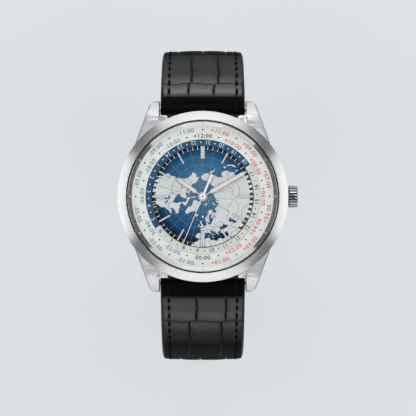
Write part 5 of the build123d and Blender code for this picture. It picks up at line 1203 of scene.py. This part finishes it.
def marker(hour, width, shift=0.0):
    """The outline of one bar, moved sideways by the shift."""
    return bars([hour * 30.0], inner_end[hour], marker_end, width) + [shift, 0]


outlines = [marker(hour, 0.38 if hour % 3 else 0.52) for hour in numbers if hour % 6]
outlines += [marker(hour, 0.45, shift) for hour in (0, 6) for shift in (-0.25, 0.25)]
markers = plate_piece(
    "markers_finished", np.concatenate(outlines), marker_low, marker_high, "case", frosted
)
broken_edges(markers, 0.1, 1)
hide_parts("hour_markers")
# Painted shadows: dark beds a little wider than the bars, under them, so that each marker is
# outlined dark.
shadow_width = np.where(numbers % 6 == 0, 1.08, np.where(numbers % 3 == 0, 0.66, 0.5))
shadow_beds = [bars([hour * 30.0], inner_end[hour] - 0.07, 12.3, shadow_width[hour]) for hour in numbers]
plate_piece("marker_shadows", np.concatenate(shadow_beds), land_high, 8.895, "case", deep_ink)
plate_piece(
    "pole_dots", dots([0.0, 180.0], 4.9, 0.26), land_high, land_high + 0.03, "case", frosted
)
edge_line = [(12.3, land_high), (12.42, land_high), (12.42, 8.884), (12.3, 8.884)]
piece("dial_edge_line", turned_mesh("dial_edge_line", edge_line), "case", deep_ink)
print("bars:", len(outlines), "on beds:", len(shadow_beds))

# %% [markdown]
# ## Hands
#
# The hour and minute hands are brushed. Each has a hub, a thin neck and a blade that keeps
# its width to near the point and holds cream lume. The seconds hand is white, with a broad
# tail, a cap and a dark pin.


# %% Hands
plated_white, tree, shader = finish(
    "white plating", Metallic=0.1, Roughness=0.35, Base_Color=srgb(240, 241, 241)
)
dressed("seconds_hand", plated_white, 0.018, "hand_steel", angle=50.0)
for name, outline, low, high, material in (
    ("seconds_tail", bars([22.6], 0.4, 5.84, 0.5), 9.8, 9.885, plated_white),
    ("seconds_cap", dots([0.0], 0.0, 0.74, 40), 9.84, 9.89, plated_white),
    ("seconds_pin", dots([0.0], 0.0, 0.19, 20), 9.84, 9.9, deep_ink),
):
    plate_piece(name, outline, low, high, "seconds_group", material)
hand_rhodium = brushed_metal("hand rhodium", srgb(196, 198, 201), 0.34, place_of, 9000.0)
coat(hand_rhodium, "cannon_pinion")


def hand(name, node_name, clock, length, width, neck, low, bore, body):
    """A hub, a thin neck and a blade that keeps its width to near the point, and its lume."""
    half, top, hub_radius, taper = width / 2, low + 0.14, 1.15, 0.88
    turn = math.radians(clock)
    spin = np.array([[math.cos(turn), -math.sin(turn)], [math.sin(turn), math.cos(turn)]])
    right = np.array([
        (0.2, 1.05), (0.22, neck - 0.3), (half, neck), (half * taper, length - 1.0), (0.06, length)
    ])
    fill_right = np.array([
        (half - 0.1, neck + 0.08), (half * taper - 0.09, length - 1.06), (0.03, length - 0.42)
    ])
    blade, lume_plate = (
        np.concatenate([side, side[::-1] * [-1, 1]]) @ spin for side in (right, fill_right)
    )
    made = plate_piece(name, blade[None], low, top, body, hand_rhodium)
    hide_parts(node_name)
    hub = [(bore, low), (hub_radius, low), (hub_radius, top), (bore, top)]
    hub_made = piece(name + "_hub", turned_mesh(name + "_hub", hub, 96), body, hand_rhodium)
    lume_made = plate_piece(name + "_lume", lume_plate[None], top - 0.06, top + 0.025, body, lume)
    for part, ease in ((made, 0.03), (hub_made, 0.03), (lume_made, 0.04)):
        broken_edges(part, ease)


hand("hour_hand_finished", "hour_hand", 304.5, 7.9, 0.98, 2.1, 9.25, 0.9, "hour_group")
hand("minute_hand_finished", "minute_hand", 60.4, 12.25, 1.02, 2.25, 9.52, 0.6, "minute_group")
print("three hands and the cannon pinion")

# %% [markdown]
# ## The path of the strap
#
# Each half leaves its spring bar 25 degrees below level and then bends down in arcs, as a
# strap does on its stand. The heading is a broken line over the travelled length. The path
# is its running sum: out += cos(heading) and down += sin(heading). Everything on the strap,
# from scales to stitches, is placed by (across, travel, height over the lining).


# %% Strap path
bar_out, bar_high, nose_radius = 21.5, 2.6, 1.6
leaving, lug_width, lug_thickness = 25.0, 20.7, 3.2


def dip(distance, width):
    """exp(-(d / w)^2): one in the middle, and almost nothing at twice the width."""
    return np.exp(-((distance / width) ** 2))


class Strap:
    """One half: where its lining runs, how wide and how thick it is, all by travel in mm."""

    def __init__(self, side, runs, length, end_width, end_thickness, fullness, wobble):
        self.side, self.length, self.wobble = side, length, wobble
        self.end_width, self.end_thickness, self.fullness = end_width, end_thickness, fullness
        spans, turns = np.array(runs).T
        self.stations = np.concatenate([[-20.0, 0.0], np.cumsum(spans)])
        self.headings = np.radians(leaving + np.concatenate([[0.0, 0.0], np.cumsum(turns)]))
        self.travel = np.linspace(-3.0, length + 4.0, 4000)
        step = np.diff(self.travel)
        heading = self.heading((self.travel[1:] + self.travel[:-1]) / 2)
        self.out = np.concatenate([[0], np.cumsum(step * np.cos(heading))])
        self.high = np.concatenate([[0], np.cumsum(-step * np.sin(heading))])
        drop = math.radians(leaving)
        self.out += bar_out - nose_radius * math.sin(drop) - np.interp(0, self.travel, self.out)
        self.high += bar_high - nose_radius * math.cos(drop) - np.interp(0, self.travel, self.high)

    def heading(self, travel):
        """The slope below level, in radians."""
        return np.interp(travel, self.stations, self.headings)

    def place(self, across, travel, height):
        """(x, y, z): the lining's point moved by height along the outward normal."""
        across, travel, height = np.broadcast_arrays(across, travel, height)
        heading = self.heading(travel)
        out = np.interp(travel, self.travel, self.out) + height * np.sin(heading)
        high = np.interp(travel, self.travel, self.high) + height * np.cos(heading)
        return np.stack([across, self.side * out, high], -1)

    def width(self, travel):
        """An even taper from the lugs to the end."""
        return lug_width + (self.end_width - lug_width) * np.clip(travel / self.length, 0, 1)

    def edge(self, travel):
        """Thickness at the edges: fuller round the first bend, even after three fifths."""
        share = np.clip(travel / self.length / 0.6, 0, 1)
        full = self.fullness * dip(travel - 18.0, 8.0)
        return lug_thickness + (self.end_thickness - lug_thickness) * share + full

    def padding(self, travel):
        """Height of the padding: a quick rise by the bar, a slow one after it, a long fall."""
        rise = np.interp(travel, [0, 0.5, 1.2, 1.7, 3.5, 6, 9], [0, 0.2, 0.48, 0.6, 0.82, 0.96, 1])
        fall = np.clip((travel - 28) / 18, 0, 1)
        return 0.15 + 1.35 * rise * (1 - fall**2 * (3 - 2 * fall))


def bend(radius, degrees):
    """The length of an arc and how far it turns the strap."""
    return radius * math.radians(degrees), degrees


upper = Strap(1, [(2.05, 0), bend(15, 65), bend(23, 60), (67, 0)], 67.0, 17.7, 2.9, 0.45, 0.4)
lower_runs = [(5.3, 0), bend(18.6, 65), (17, 0), bend(28, 90), (115, 0)]
lower = Strap(-1, lower_runs, 115.0, 17.5, 2.6, 0.0, 2.1)
print("ends of the halves:", upper.place(0, 67.0, 0).round(1), lower.place(0, 115.0, 0).round(1))

# %% [markdown]
# ## Scales
#
# Belly leather is laid out in rows of square scales with soft creases between them. Rows
# get shorter towards the ends, and every row has its own creases, a little crooked. The
# height falls off towards the nearest crease as 1 - exp(-(d / w)^2), which makes each scale
# a low pillow. The first rows follow the photograph; the rest are drawn by seeded chance.


# %% Scale relief
none_near = 99.0
scale_chance = np.random.default_rng(11)


def relief(strap, across, travel):
    """Height from -1 in a crease to 0 on a scale, from the distance to the nearest crease."""
    bent_travel = travel + 0.16 * np.sin(across * 0.7 + strap.wobble) + 0.06 * np.sin(across * 2.7)
    bent_across = across + 0.12 * np.sin(travel * 0.6 + strap.wobble) + 0.05 * np.sin(travel * 2.3)
    row = np.searchsorted(strap.rows, bent_travel)
    to_row = np.abs(bent_travel[..., None] - strap.rows).min(-1)
    to_column = np.abs(bent_across[..., None] - strap.creases[row]).min(-1)
    across_strap, along_strap = 0.6 * dip(to_row, 0.22), 0.9 * dip(to_column, 0.2)
    pillow = 0.2 * dip(np.minimum(to_row, to_column), 1.1)
    past_lugs = np.clip((travel - 1.8) / 1.2, 0, 1)
    return -past_lugs * np.maximum(np.maximum(across_strap, along_strap), pillow)


def lay_scales(strap, rows, first_creases):
    """Row ends along the strap; creases across it as given, then evenly with a random shift."""
    strap.rows = np.array(rows)
    creases = [[], *first_creases]
    for number in range(len(creases), len(rows) + 1):
        even = np.linspace(-5.4, 5.4, 3 if number < 5 else 4)
        creases.append(even + scale_chance.uniform(-0.9, 0.9, len(even)))
    strap.creases = np.array([[*row, *[none_near] * (4 - len(row))] for row in creases])


upper_rows = [1.6, 4.9, 14.3, 22.6, 30.2, 37.0, 43.2, 48.9, 54.2, 59.2, 63.6]
lower_rows = [1.7, 8.2, 21.2, 30.6, 38.4, 45.0, 51.0, 57.2, 63.0, 68.5, 74.3, 79.9, 85.3, 90.5,
              95.5, 100.3, 104.9, 109.2]
lay_scales(upper, upper_rows, [[-3.45, 2.75], [-2.85, 3.7]])
lay_scales(lower, lower_rows, [[-1.65, 5.6], [-3.25, 4.65]])
print("rows of scales:", len(upper.rows), "and", len(lower.rows))

# %% [markdown]
# ## Black leather
#
# The top has a fine grain under a glaze. The glaze starts past the lugs, thins along the
# strap and leaves the creases bare, so that the scales shine and the lines between don't.
# The lining is a plain calf in the same black, the cut edges are painted and smoother. The
# grain reads the strap's own UV map in millimetres, so that it follows every bend.

# %% Leather materials
leather_grain, given, leave = new_group("leather grain", {"Size": 1.0}, ["Pores", "Folds"])
cells = {"Vector": given["Vector"], "Scale": maths("DIVIDE", 2.6, given["Size"])}
pores = node(leather_grain, "ShaderNodeTexVoronoi", cells, feature="F1").outputs["Distance"]
folds = noise(given["Vector"], maths("DIVIDE", 1.3, given["Size"]), 5.0, 0.62)
fill(leave, {"Pores": pores, "Folds": folds})


def uv_of(tree, layer="flat"):
    """Coordinates from one of the mesh's UV maps."""
    return node(tree, "ShaderNodeUVMap", uv_map=layer).outputs["UV"]


def leather(name, dark, worn, gloss, size, depth, coat_share=0.0, shine=0.3):
    """Dyed leather: folds and pores in bump and gloss, a worn shade on the folds."""
    made, tree, shader = finish(
        name, Coat_Weight=coat_share, Coat_Roughness=0.3, Specular_IOR_Level=shine
    )
    grain = use_group(tree, leather_grain, {"Vector": uv_of(tree), "Size": size})
    pores, folds = grain["Pores"], grain["Folds"]
    wear = times(maths("SUBTRACT", folds, 0.45, clamp=True), 1.8)
    paint(
        shader, Base_Color=blend_colours(wear, dark, worn),
        Roughness=scaled(folds, 0.28, gloss - 0.14), Normal=bump(scaled(pores, 0.35, folds), depth),
    )
    return made


def glaze(made):
    """The glaze starts past the lugs, thins along the strap and leaves the creases bare."""
    tree = made.node_tree
    shader = tree.nodes["Principled BSDF"]
    start, rise, fade_start, fade_run, fade, least = 1.95, 1.1, 4.5, 9.5, 0.88, 0.07
    travel = parts_of(uv_of(tree))["Y"]
    bare = maths("SUBTRACT", 1.0, parts_of(uv_of(tree, "creases"))["X"], clamp=True)
    begun = scaled(travel, 1 / rise, -start / rise, clamp=True)
    thin = scaled(travel, -fade / fade_run, 1 + fade * fade_start / fade_run, clamp=True)
    thin = maths("MAXIMUM", thin, least)
    rough, colour = (
        shader.inputs[name].links[0].from_socket for name in ("Roughness", "Base Color")
    )
    paint(
        shader, Coat_Weight=times(times(begun, thin), times(bare, bare)), Coat_IOR=1.9,
        Roughness=scaled(maths("SUBTRACT", 1.0, thin), 0.5, rough),
        Base_Color=blend_colours(bare, srgb(1, 1, 2), colour),
    )


scaled_leather = leather(
    "glazed scaled leather", srgb(1, 1, 2), srgb(7, 7, 8), 0.4, 1.0, 6e-5, 0.9, shine=0.06
)
glaze(scaled_leather)
lining_leather = leather("calf lining", srgb(24, 23, 23), srgb(40, 38, 37), 0.62, 0.5, 5e-5)
edge_paint = leather(
    "painted edge", srgb(6, 6, 7), srgb(12, 12, 13), 0.5, 0.6, 2e-5, shine=0.15
)
thread, tree, shader = finish("waxed thread", Roughness=0.75, Specular_IOR_Level=0.05)
strands = {"Vector": uv_of(tree), "Scale": 1.1, "Distortion": 0.4}
twist = node(tree, "ShaderNodeTexWave", strands, bands_direction="DIAGONAL").outputs["Fac"]
paint(
    shader, Base_Color=blend_colours(twist, srgb(2, 2, 3), srgb(9, 9, 10)),
    Normal=bump(twist, 3e-5),
)
print("leather and thread")

# %% [markdown]
# ## The two halves
#
# A half is one closed surface: rows along the travel and columns round its section. The
# section starts under one edge, runs over the padded top and back along the lining. At the
# spring bar it ends in a rolled nose, where the leather is turned round the bar.


# %% Strap surface
stitch_inset, stitch_pitch, first_stitch = 1.95, 1.9, 3.2
tail_run, tail_half = 7.0, 2.5
eye_radius = 1.45
lining_u = 40.0


def half_width(strap, travel):
    """Half of the width, narrowing to a rounded point on the tail."""
    half = strap.width(travel) / 2
    if strap is lower:
        share = np.clip((travel - (strap.length - tail_run)) / tail_run, 0, 1)
        half = np.where(share > 0, tail_half + (half - tail_half) * np.sqrt(1 - share**2), half)
    return half


def top_height(strap, across, travel, half):
    """Edge plus padding (1 - u^2/4 - 3u^40/4), less creases, stitch groove and round edge."""
    from_edge = half - np.abs(across)
    u = np.clip(np.abs(across) / half, 0, 1)
    crown = strap.padding(travel) * (1 - 0.25 * u**2 - 0.75 * u**40)
    off_edge = np.clip(from_edge / 0.45, 0, 1)
    rounding = 0.4 * (1 - np.sqrt(1 - (1 - off_edge) ** 2))
    inside = np.clip((from_edge - 0.2) / 1.6, 0, 1)
    groove = 0.13 * dip(from_edge - stitch_inset, 0.28)
    scale = 0.27 * relief(strap, across, travel) * inside
    return strap.edge(travel) + crown - rounding + scale - groove


def end_squeeze(strap, travel):
    """How much of the thickness is left at the rolled ends, and the height it closes to."""
    nose = np.sqrt(np.clip(1 - (np.minimum(travel, 0) / nose_radius) ** 2, 0, 1))
    if strap is upper:
        past = np.maximum(travel - strap.length, 0) / eye_radius
        beyond = np.sqrt(np.clip(1 - past**2, 0, 1))
    else:
        beyond = np.where(travel > strap.length - 1e-6, 0.0, 1.0)
    middle = np.where(travel > strap.length / 2, strap.end_thickness / 2, nose_radius)
    return nose * beyond, middle


def half_mesh(name, strap, nose, tip):
    """Closed surface of the leather over its lining; nose and tip shape the two ends."""
    stations = np.concatenate([nose, np.arange(0.15, strap.length - 0.01, 0.22), tip])[:, None]
    even = np.linspace(-1, 1, 151)
    half = half_width(strap, stations)
    across = (np.sin(even * math.pi / 2) * 0.35 + even * 0.65) * half
    squeeze, middle = end_squeeze(strap, stations)
    top = top_height(strap, across, np.clip(stations, 0, None), half)
    top_grid = strap.place(across, stations, middle + (top - middle) * squeeze)
    under = np.linspace(1, -1, 15) * half
    under_grid = strap.place(under * 0.985, stations, middle - middle * squeeze)
    grid = np.concatenate([top_grid, under_grid], 1)
    u = np.concatenate([across, under + lining_u], 1)
    uv = np.stack(np.broadcast_arrays(u, stations), -1)
    uv = np.concatenate([uv, uv[:, :1]], 1)
    mesh = outward(grid_mesh(name, grid, uv=uv, wrap_columns=True))
    from_edge = half - np.abs(across)
    pressed = 0.55 + 0.45 * np.cos((stations - first_stitch) / stitch_pitch * TURN)
    groove = pressed * dip(from_edge - stitch_inset, 0.3) * (stations > 2.4)
    bare = np.maximum(-relief(strap, across, stations), groove)
    bare = np.clip(np.where(from_edge < 0.3, 1.0, bare), 0, 1) ** 1.5
    values = np.zeros((*grid.shape[:2], 2), np.float32)
    values[:, : bare.shape[1], 0] = bare
    corner = values_of(mesh.loops, "vertex_index", kind=np.int32).ravel()
    creases = mesh.uv_layers.new(name="creases")
    creases.uv.foreach_set("vector", values.reshape(-1, 2)[corner].ravel())
    mesh.uv_layers.active_index = 0
    return mesh


print("thickness at the first stitch:", round(float(upper.edge(first_stitch)), 2), "mm")

# %% [markdown]
# ## Cutting and finishing the halves
#
# The lower half gets its seven holes and the upper half the slot for the tongue, each cut
# with a prism that stands square to the leather there. Each face is given its material by
# where it lies and which way it faces: scales on top, calf on the lining, paint on the cut
# sides.


# %% Cut halves
def split_materials(made):
    """Top faces keep the scales, faces of the lining get calf, and the sides edge paint."""
    mesh = made.data
    normals = values_of(mesh.polygons, "normal", 3)
    first = values_of(mesh.polygons, "loop_start", kind=np.int32).ravel()
    under = values_of(mesh.uv_layers["flat"].uv, "vector", 2)[first, 0] > lining_u / 2
    chosen = np.where(np.abs(normals[:, 0]) > 0.55, 2, np.where(under, 1, 0))
    mesh.polygons.foreach_set("material_index", chosen.astype(np.int32))


drilled_to = 5.0


def cut(made, cutters):
    """Takes the cutters out of a piece, once and for all, and removes them."""
    for cutter in cutters:
        adjusted(made.modifiers.new("cut", "BOOLEAN"), object=cutter, solver="EXACT")
    mesh = as_mesh(made)
    made.modifiers.clear()
    made.data = mesh
    for cutter in cutters:
        bpy.data.objects.remove(cutter)


def drill(strap, outline, low):
    """A prism through the strap from an outline (n, 2) of (across, travel)."""
    outline = np.asarray(outline, float)
    centre = outline[:, 1].mean()
    heading = strap.heading(centre)
    along = np.array([0, strap.side * math.cos(heading), -math.sin(heading)])
    out = np.array([0, strap.side * math.sin(heading), math.cos(heading)])
    bottom = strap.place(outline[:, 0], centre, low) + (outline[:, 1:] - centre) * along
    points = np.concatenate([bottom, bottom + out * (drilled_to - low)])
    ring = np.arange(len(outline))
    following = np.roll(ring, -1)
    upper_ring, upper_following = ring + len(ring), following + len(ring)
    sides = np.stack([ring, following, upper_following, upper_ring], -1)
    mesh = bpy.data.meshes.new("cutter")
    faces = [ring.tolist(), upper_ring.tolist(), *sides.tolist()]
    mesh.from_pydata((points * MM).tolist(), [], faces)
    return placed("cutter", outward(mesh))


nose_stations = -nose_radius * np.cos(np.linspace(0, math.pi / 2, 9))
eye_stations = upper.length + eye_radius * np.sin(np.linspace(0, math.pi / 2, 8))
tail_stations = lower.length - 0.22 * np.array([0.6, 0.3, 0.1, 0.02, 0.0])
halves = []
for name, strap, tip, body, node_name in (
    ("strap_upper_leather", upper, eye_stations, "strap_upper_group", "strap_upper"),
    ("strap_lower_leather", lower, tail_stations, "strap_lower_group", "strap_lower"),
):
    mesh = half_mesh(name, strap, nose_stations, tip)
    made = piece(name, mesh, body, scaled_leather, 60.0)
    made.data.materials.append(lining_leather)
    made.data.materials.append(edge_paint)
    split_materials(made)
    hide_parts(node_name)
    halves.append(made)

hole_radius, first_hole, hole_pitch = 0.85, 69.0, 6
circle = np.linspace(0, TURN, 28, endpoint=False)
rim = hole_radius * np.stack([np.cos(circle), np.sin(circle)], -1)
holes = [drill(lower, rim + [0, first_hole + hole_pitch * number], -1.0) for number in range(7)]
cut(halves[1], holes)
tongue_slot = [(-1.3, 64.8), (1.3, 64.8), (1.3, 69.5), (-1.3, 69.5)]
cut(halves[0], [drill(upper, tongue_slot, -1.5)])
print("halves:", [len(made.data.polygons) for made in halves])

# %% [markdown]
# ## Stitches
#
# Both edges are sewn with waxed black thread in a pressed groove. One stitch is a small
# spindle: its radius is r sqrt(1 - a^2) along its length, and it is laid on the leather by
# the same path as everything else.


# %% Stitches
def stitches(name, strap, last, body):
    """Spindles on both edges: (across, travel, height) = row line + r (cos b, 0, sin b)."""
    length, radius, slant, lift = 1.3, 0.24, 0.1, 0.06
    starts = np.arange(first_stitch, last, stitch_pitch)
    side, start = np.meshgrid([-1.0, 1.0], starts, indexing="ij")
    side, start = side.reshape(-1, 1, 1), start.reshape(-1, 1, 1)
    along = np.sin(np.linspace(-1, 1, 7) * math.pi / 2)[None, :, None]
    around = np.linspace(0, TURN, 6, endpoint=False)[None, None, :]
    swell = radius * np.sqrt(np.clip(1 - along**2, 0, 1))
    travel = start + length / 2 * along + 0 * around
    half = half_width(strap, travel)
    row = side * (half - stitch_inset)
    across = row + slant * along * side + swell * np.cos(around)
    height = top_height(strap, row, travel, half) + lift + swell * np.sin(around)
    points = strap.place(across, travel, height)
    count, rings, spokes = points.shape[:3]
    down, over = grid_faces(rings, spokes, wrap_columns=True)
    one = down * spokes + over % spokes
    faces = (np.arange(count)[:, None, None] * rings * spokes + one).reshape(-1, 4)
    flat = np.stack([np.broadcast_to(over * 0.2, one.shape), down * length / rings], -1)
    mesh = mesh_of(name, points.reshape(-1, 3), faces, np.broadcast_to(flat, (count, *flat.shape)))
    made = piece(name, outward(mesh), body, thread, 80.0)


stitches("upper_stitches", upper, 53.0, "strap_upper_group")
stitches("lower_stitches", lower, 107.0, "strap_lower_group")

# %% [markdown]
# ## Keepers
#
# A keeper is a loop of leather: a rounded section carried round a rounded rectangle. The
# fixed one sits by the buckle, and the loose one has a little room to slide.


# %% Keepers
def keeper(name, at, length, room, slack, body, node_name):
    """A loop round the upper half; the wall's outer face has a pressed line by each edge."""
    wall, gap, corner, inset, line, pressed = 0.9, 2.9, 1.1, 0.62, 0.14, 0.1
    low, high = -slack, float(upper.edge(at)) + 0.15 + gap
    a, b, middle = (room + wall) / 2, (high - low + wall) / 2, (high + low) / 2
    loop = eased([(-a, -b), (a, -b), (a, b), (-a, b)], corner, steps=7)
    loop = np.concatenate([np.linspace(p, q, 7)[:-1] for p, q in zip(loop, np.roll(loop, -1, 0))])
    along_loop = np.roll(loop, -1, 0) - np.roll(loop, 1, 0)
    along_loop /= np.linalg.norm(along_loop, axis=1, keepdims=True)
    normal = np.stack([along_loop[:, 1], -along_loop[:, 0]], -1)
    edge, face = length / 2, wall / 2
    left = [(-edge, -face), (-edge, face), (inset - line - edge, face),
            (inset - edge, face - pressed), (inset + line - edge, face)]
    right = [(-across, height) for across, height in left[::-1]]
    eases = [0.16, 0.3, 0.05, 0.05, 0.05]
    section = eased(left + right, eases + eases[::-1])
    flat = loop[:, None] + normal[:, None] * section[None, :, 1:]
    heading = float(upper.heading(at))
    tangent = np.array([0, math.cos(heading), -math.sin(heading)])
    grid = upper.place(flat[..., 0], at, middle + flat[..., 1]) + section[None, :, :1] * tangent
    run = np.linspace(0, 4 * (a + b), len(loop) + 1)[:, None]
    across = np.concatenate([section[:, 0], section[:1, 0]])[None]
    uv = np.stack(np.broadcast_arrays(across, run), -1)
    mesh = outward(grid_mesh(name, grid, uv=uv, wrap_rows=True, wrap_columns=True))
    made = piece(name, mesh, body, keeper_leather, 60.0)
    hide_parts(node_name)


keeper_leather = leather("keeper leather", srgb(18, 18, 19), srgb(36, 36, 38), 0.42, 0.8, 5e-5, 0.2)
fixed_room = float(upper.width(60.0))
loose_room = float(upper.width(47.7)) + 0.24
keeper("keeper_fixed_leather", 62.0, 4.0, fixed_room, 0.0, "strap_upper_group", "keeper_fixed")
keeper("keeper_loose_leather", 56.2, 5.0, loose_room, 0.12, "keeper_group", "keeper_loose")
print("keepers:", round(fixed_room, 2), "and", round(loose_room, 2), "mm wide inside")

# %% [markdown]
# ## Buckle and small steel
#
# The buckle, its tongue and the spring bars are polished steel with softly broken edges.

# %% Buckle
buckle_steel = polished_metal("buckle polish", srgb(228, 229, 230), 0.12)
dressed("buckle_frame", buckle_steel, 0.28, "polished_steel", segments=4)
dressed("buckle_tongue", buckle_steel, 0.12, "polished_steel", segments=3)
coat(bright_steel, "buckle_bar", "spring_bars", "crown_tube")
print("buckle, spring bars and crown tube are polished")

# %% [markdown]
# ## The movement behind the glass
#
# Seen through the back: bridges with straight stripes and polished bevels, a plate grained
# in small overlapping circles, gilt wheels, ruby jewels, blued screws and a gilt rotor. The
# stripes are cut by a wheel that runs in lines, so each stripe is a shallow trough whose
# gloss changes across it: a saw of the distance across the lines. The same saw also darkens
# the colour across each stripe, and the grain darkens towards each circle's rim: painted shade.


# %% Stripes and circles
stripes, given, leave = new_group("cut stripes", {"Width": 1.7 * MM}, ["Trough and shade", "Cut"])
x, y, _ = parts_of(given["Vector"])
saw = maths("FRACT", maths("DIVIDE", x, given["Width"]))
arcs = scaled(times(saw, saw), 0.6 * MM, y)
stretched = {"X": times(x, 300.0), "Y": times(arcs, 16000.0)}
stretched = node(stripes, "ShaderNodeCombineXYZ", stretched).outputs[0]
fill(leave, {"Trough and shade": saw, "Cut": noise(stretched, 1.0)})


def striped_metal(name, colour, turn, width=1.7):
    """Rhodium or gilt with straight stripes at an angle; painted shade darkens each trough."""
    made, tree, shader = finish(name, Metallic=1.0)
    rotated = {"Vector": place_of(tree), "Rotation": (0, 0, math.radians(turn))}
    rotated = node(tree, "ShaderNodeMapping", rotated).outputs[0]
    marks = use_group(tree, stripes, {"Vector": rotated, "Width": width * MM})
    paint(
        # Painted shade: the colour darkens across each stripe with the saw; the bump gives the real
        # trough.
        shader, Base_Color=blend_colours(marks["Trough and shade"], toned(colour, 0.72), colour),
        Roughness=scaled(marks["Cut"], 0.2, 0.16),
        Normal=bump(scaled(marks["Cut"], 0.1, marks["Trough and shade"]), 9e-6),
    )
    return made


rhodium = srgb(206, 208, 210)
gold = srgb(226, 184, 108)
striped_rhodium = striped_metal("striped rhodium", rhodium, 35.0)
striped_gilt = striped_metal("striped gilt", gold, -20.0, width=2.1)

spot_size = 1.3 * MM
grained_rhodium, tree, shader = finish("grained rhodium", Metallic=1.0)
cells = {"Vector": place_of(tree), "Scale": 1 / spot_size, "Randomness": 0.15}
spots = node(tree, "ShaderNodeTexVoronoi", cells).outputs["Distance"]
# Painted shade: each grain circle darkens towards its rim; the bump and gloss give the real grain.
paint(
    shader, Base_Color=blend_colours(spots, rhodium, toned(rhodium, 0.8)),
    Roughness=scaled(maths("FRACT", times(spots, 7.0)), 0.15, 0.25), Normal=bump(spots, 1.2e-5),
)

gilt = brushed_metal("wheel gilt", gold, 0.26, place_of, 9000.0)
holder_satin = brushed_metal("holder satin", srgb(190, 192, 194), 0.34, polar)
worked_steel = polished_metal("worked steel", srgb(200, 202, 206), 0.16)
spring_blue = polished_metal("spring blue", srgb(84, 96, 128), 0.2)
blued = polished_metal("blued screws", srgb(36, 62, 150), 0.1)
ruby, tree, shader = finish("ruby", Roughness=0.06, IOR=1.76, Transmission_Weight=0.25)
glow = touched(tree, 1500.0)["Mask"]
paint(shader, Base_Color=blend_colours(glow, srgb(170, 12, 46), srgb(222, 40, 84)))

bridges = ("train_bridge", "barrel_bridge", "winding_bridge", "balance_cock", "pallet_cock")
for name, metal, width, slot in (
    *((name, striped_rhodium, 0.14, "bridge_rhodium") for name in bridges),
    ("rotor", striped_gilt, 0.12, "rotor_gilt"),
):
    made = dressed(name, metal, width, slot, angle=50.0, material=1)
    made.data.materials.append(bright_steel)
coat(grained_rhodium, "main_plate", "motion_cover")
coat(holder_satin, "movement_holder")
coat(gilt, "minute_wheel", "hour_wheel", "ring_drive_wheel", "setting_wheel", "second_wheel",
     "third_wheel", "fourth_wheel", "barrel", "balance_wheel")
coat(worked_steel, "escape_wheel", "pallet_fork", "barrel_arbor", "ratchet_wheel", "click",
     "crown_wheel", "winding_stem", "winding_pinion", "sliding_pinion", "setting_lever", "yoke")
coat(spring_blue, "mainspring", "hairspring")
coat(blued, "bridge_screws")
coat(ruby, "jewels")
plain = [name for name, made in nodes.items() if not made.hide_render and not made.data.materials]
print("nodes without a finish:", plain)
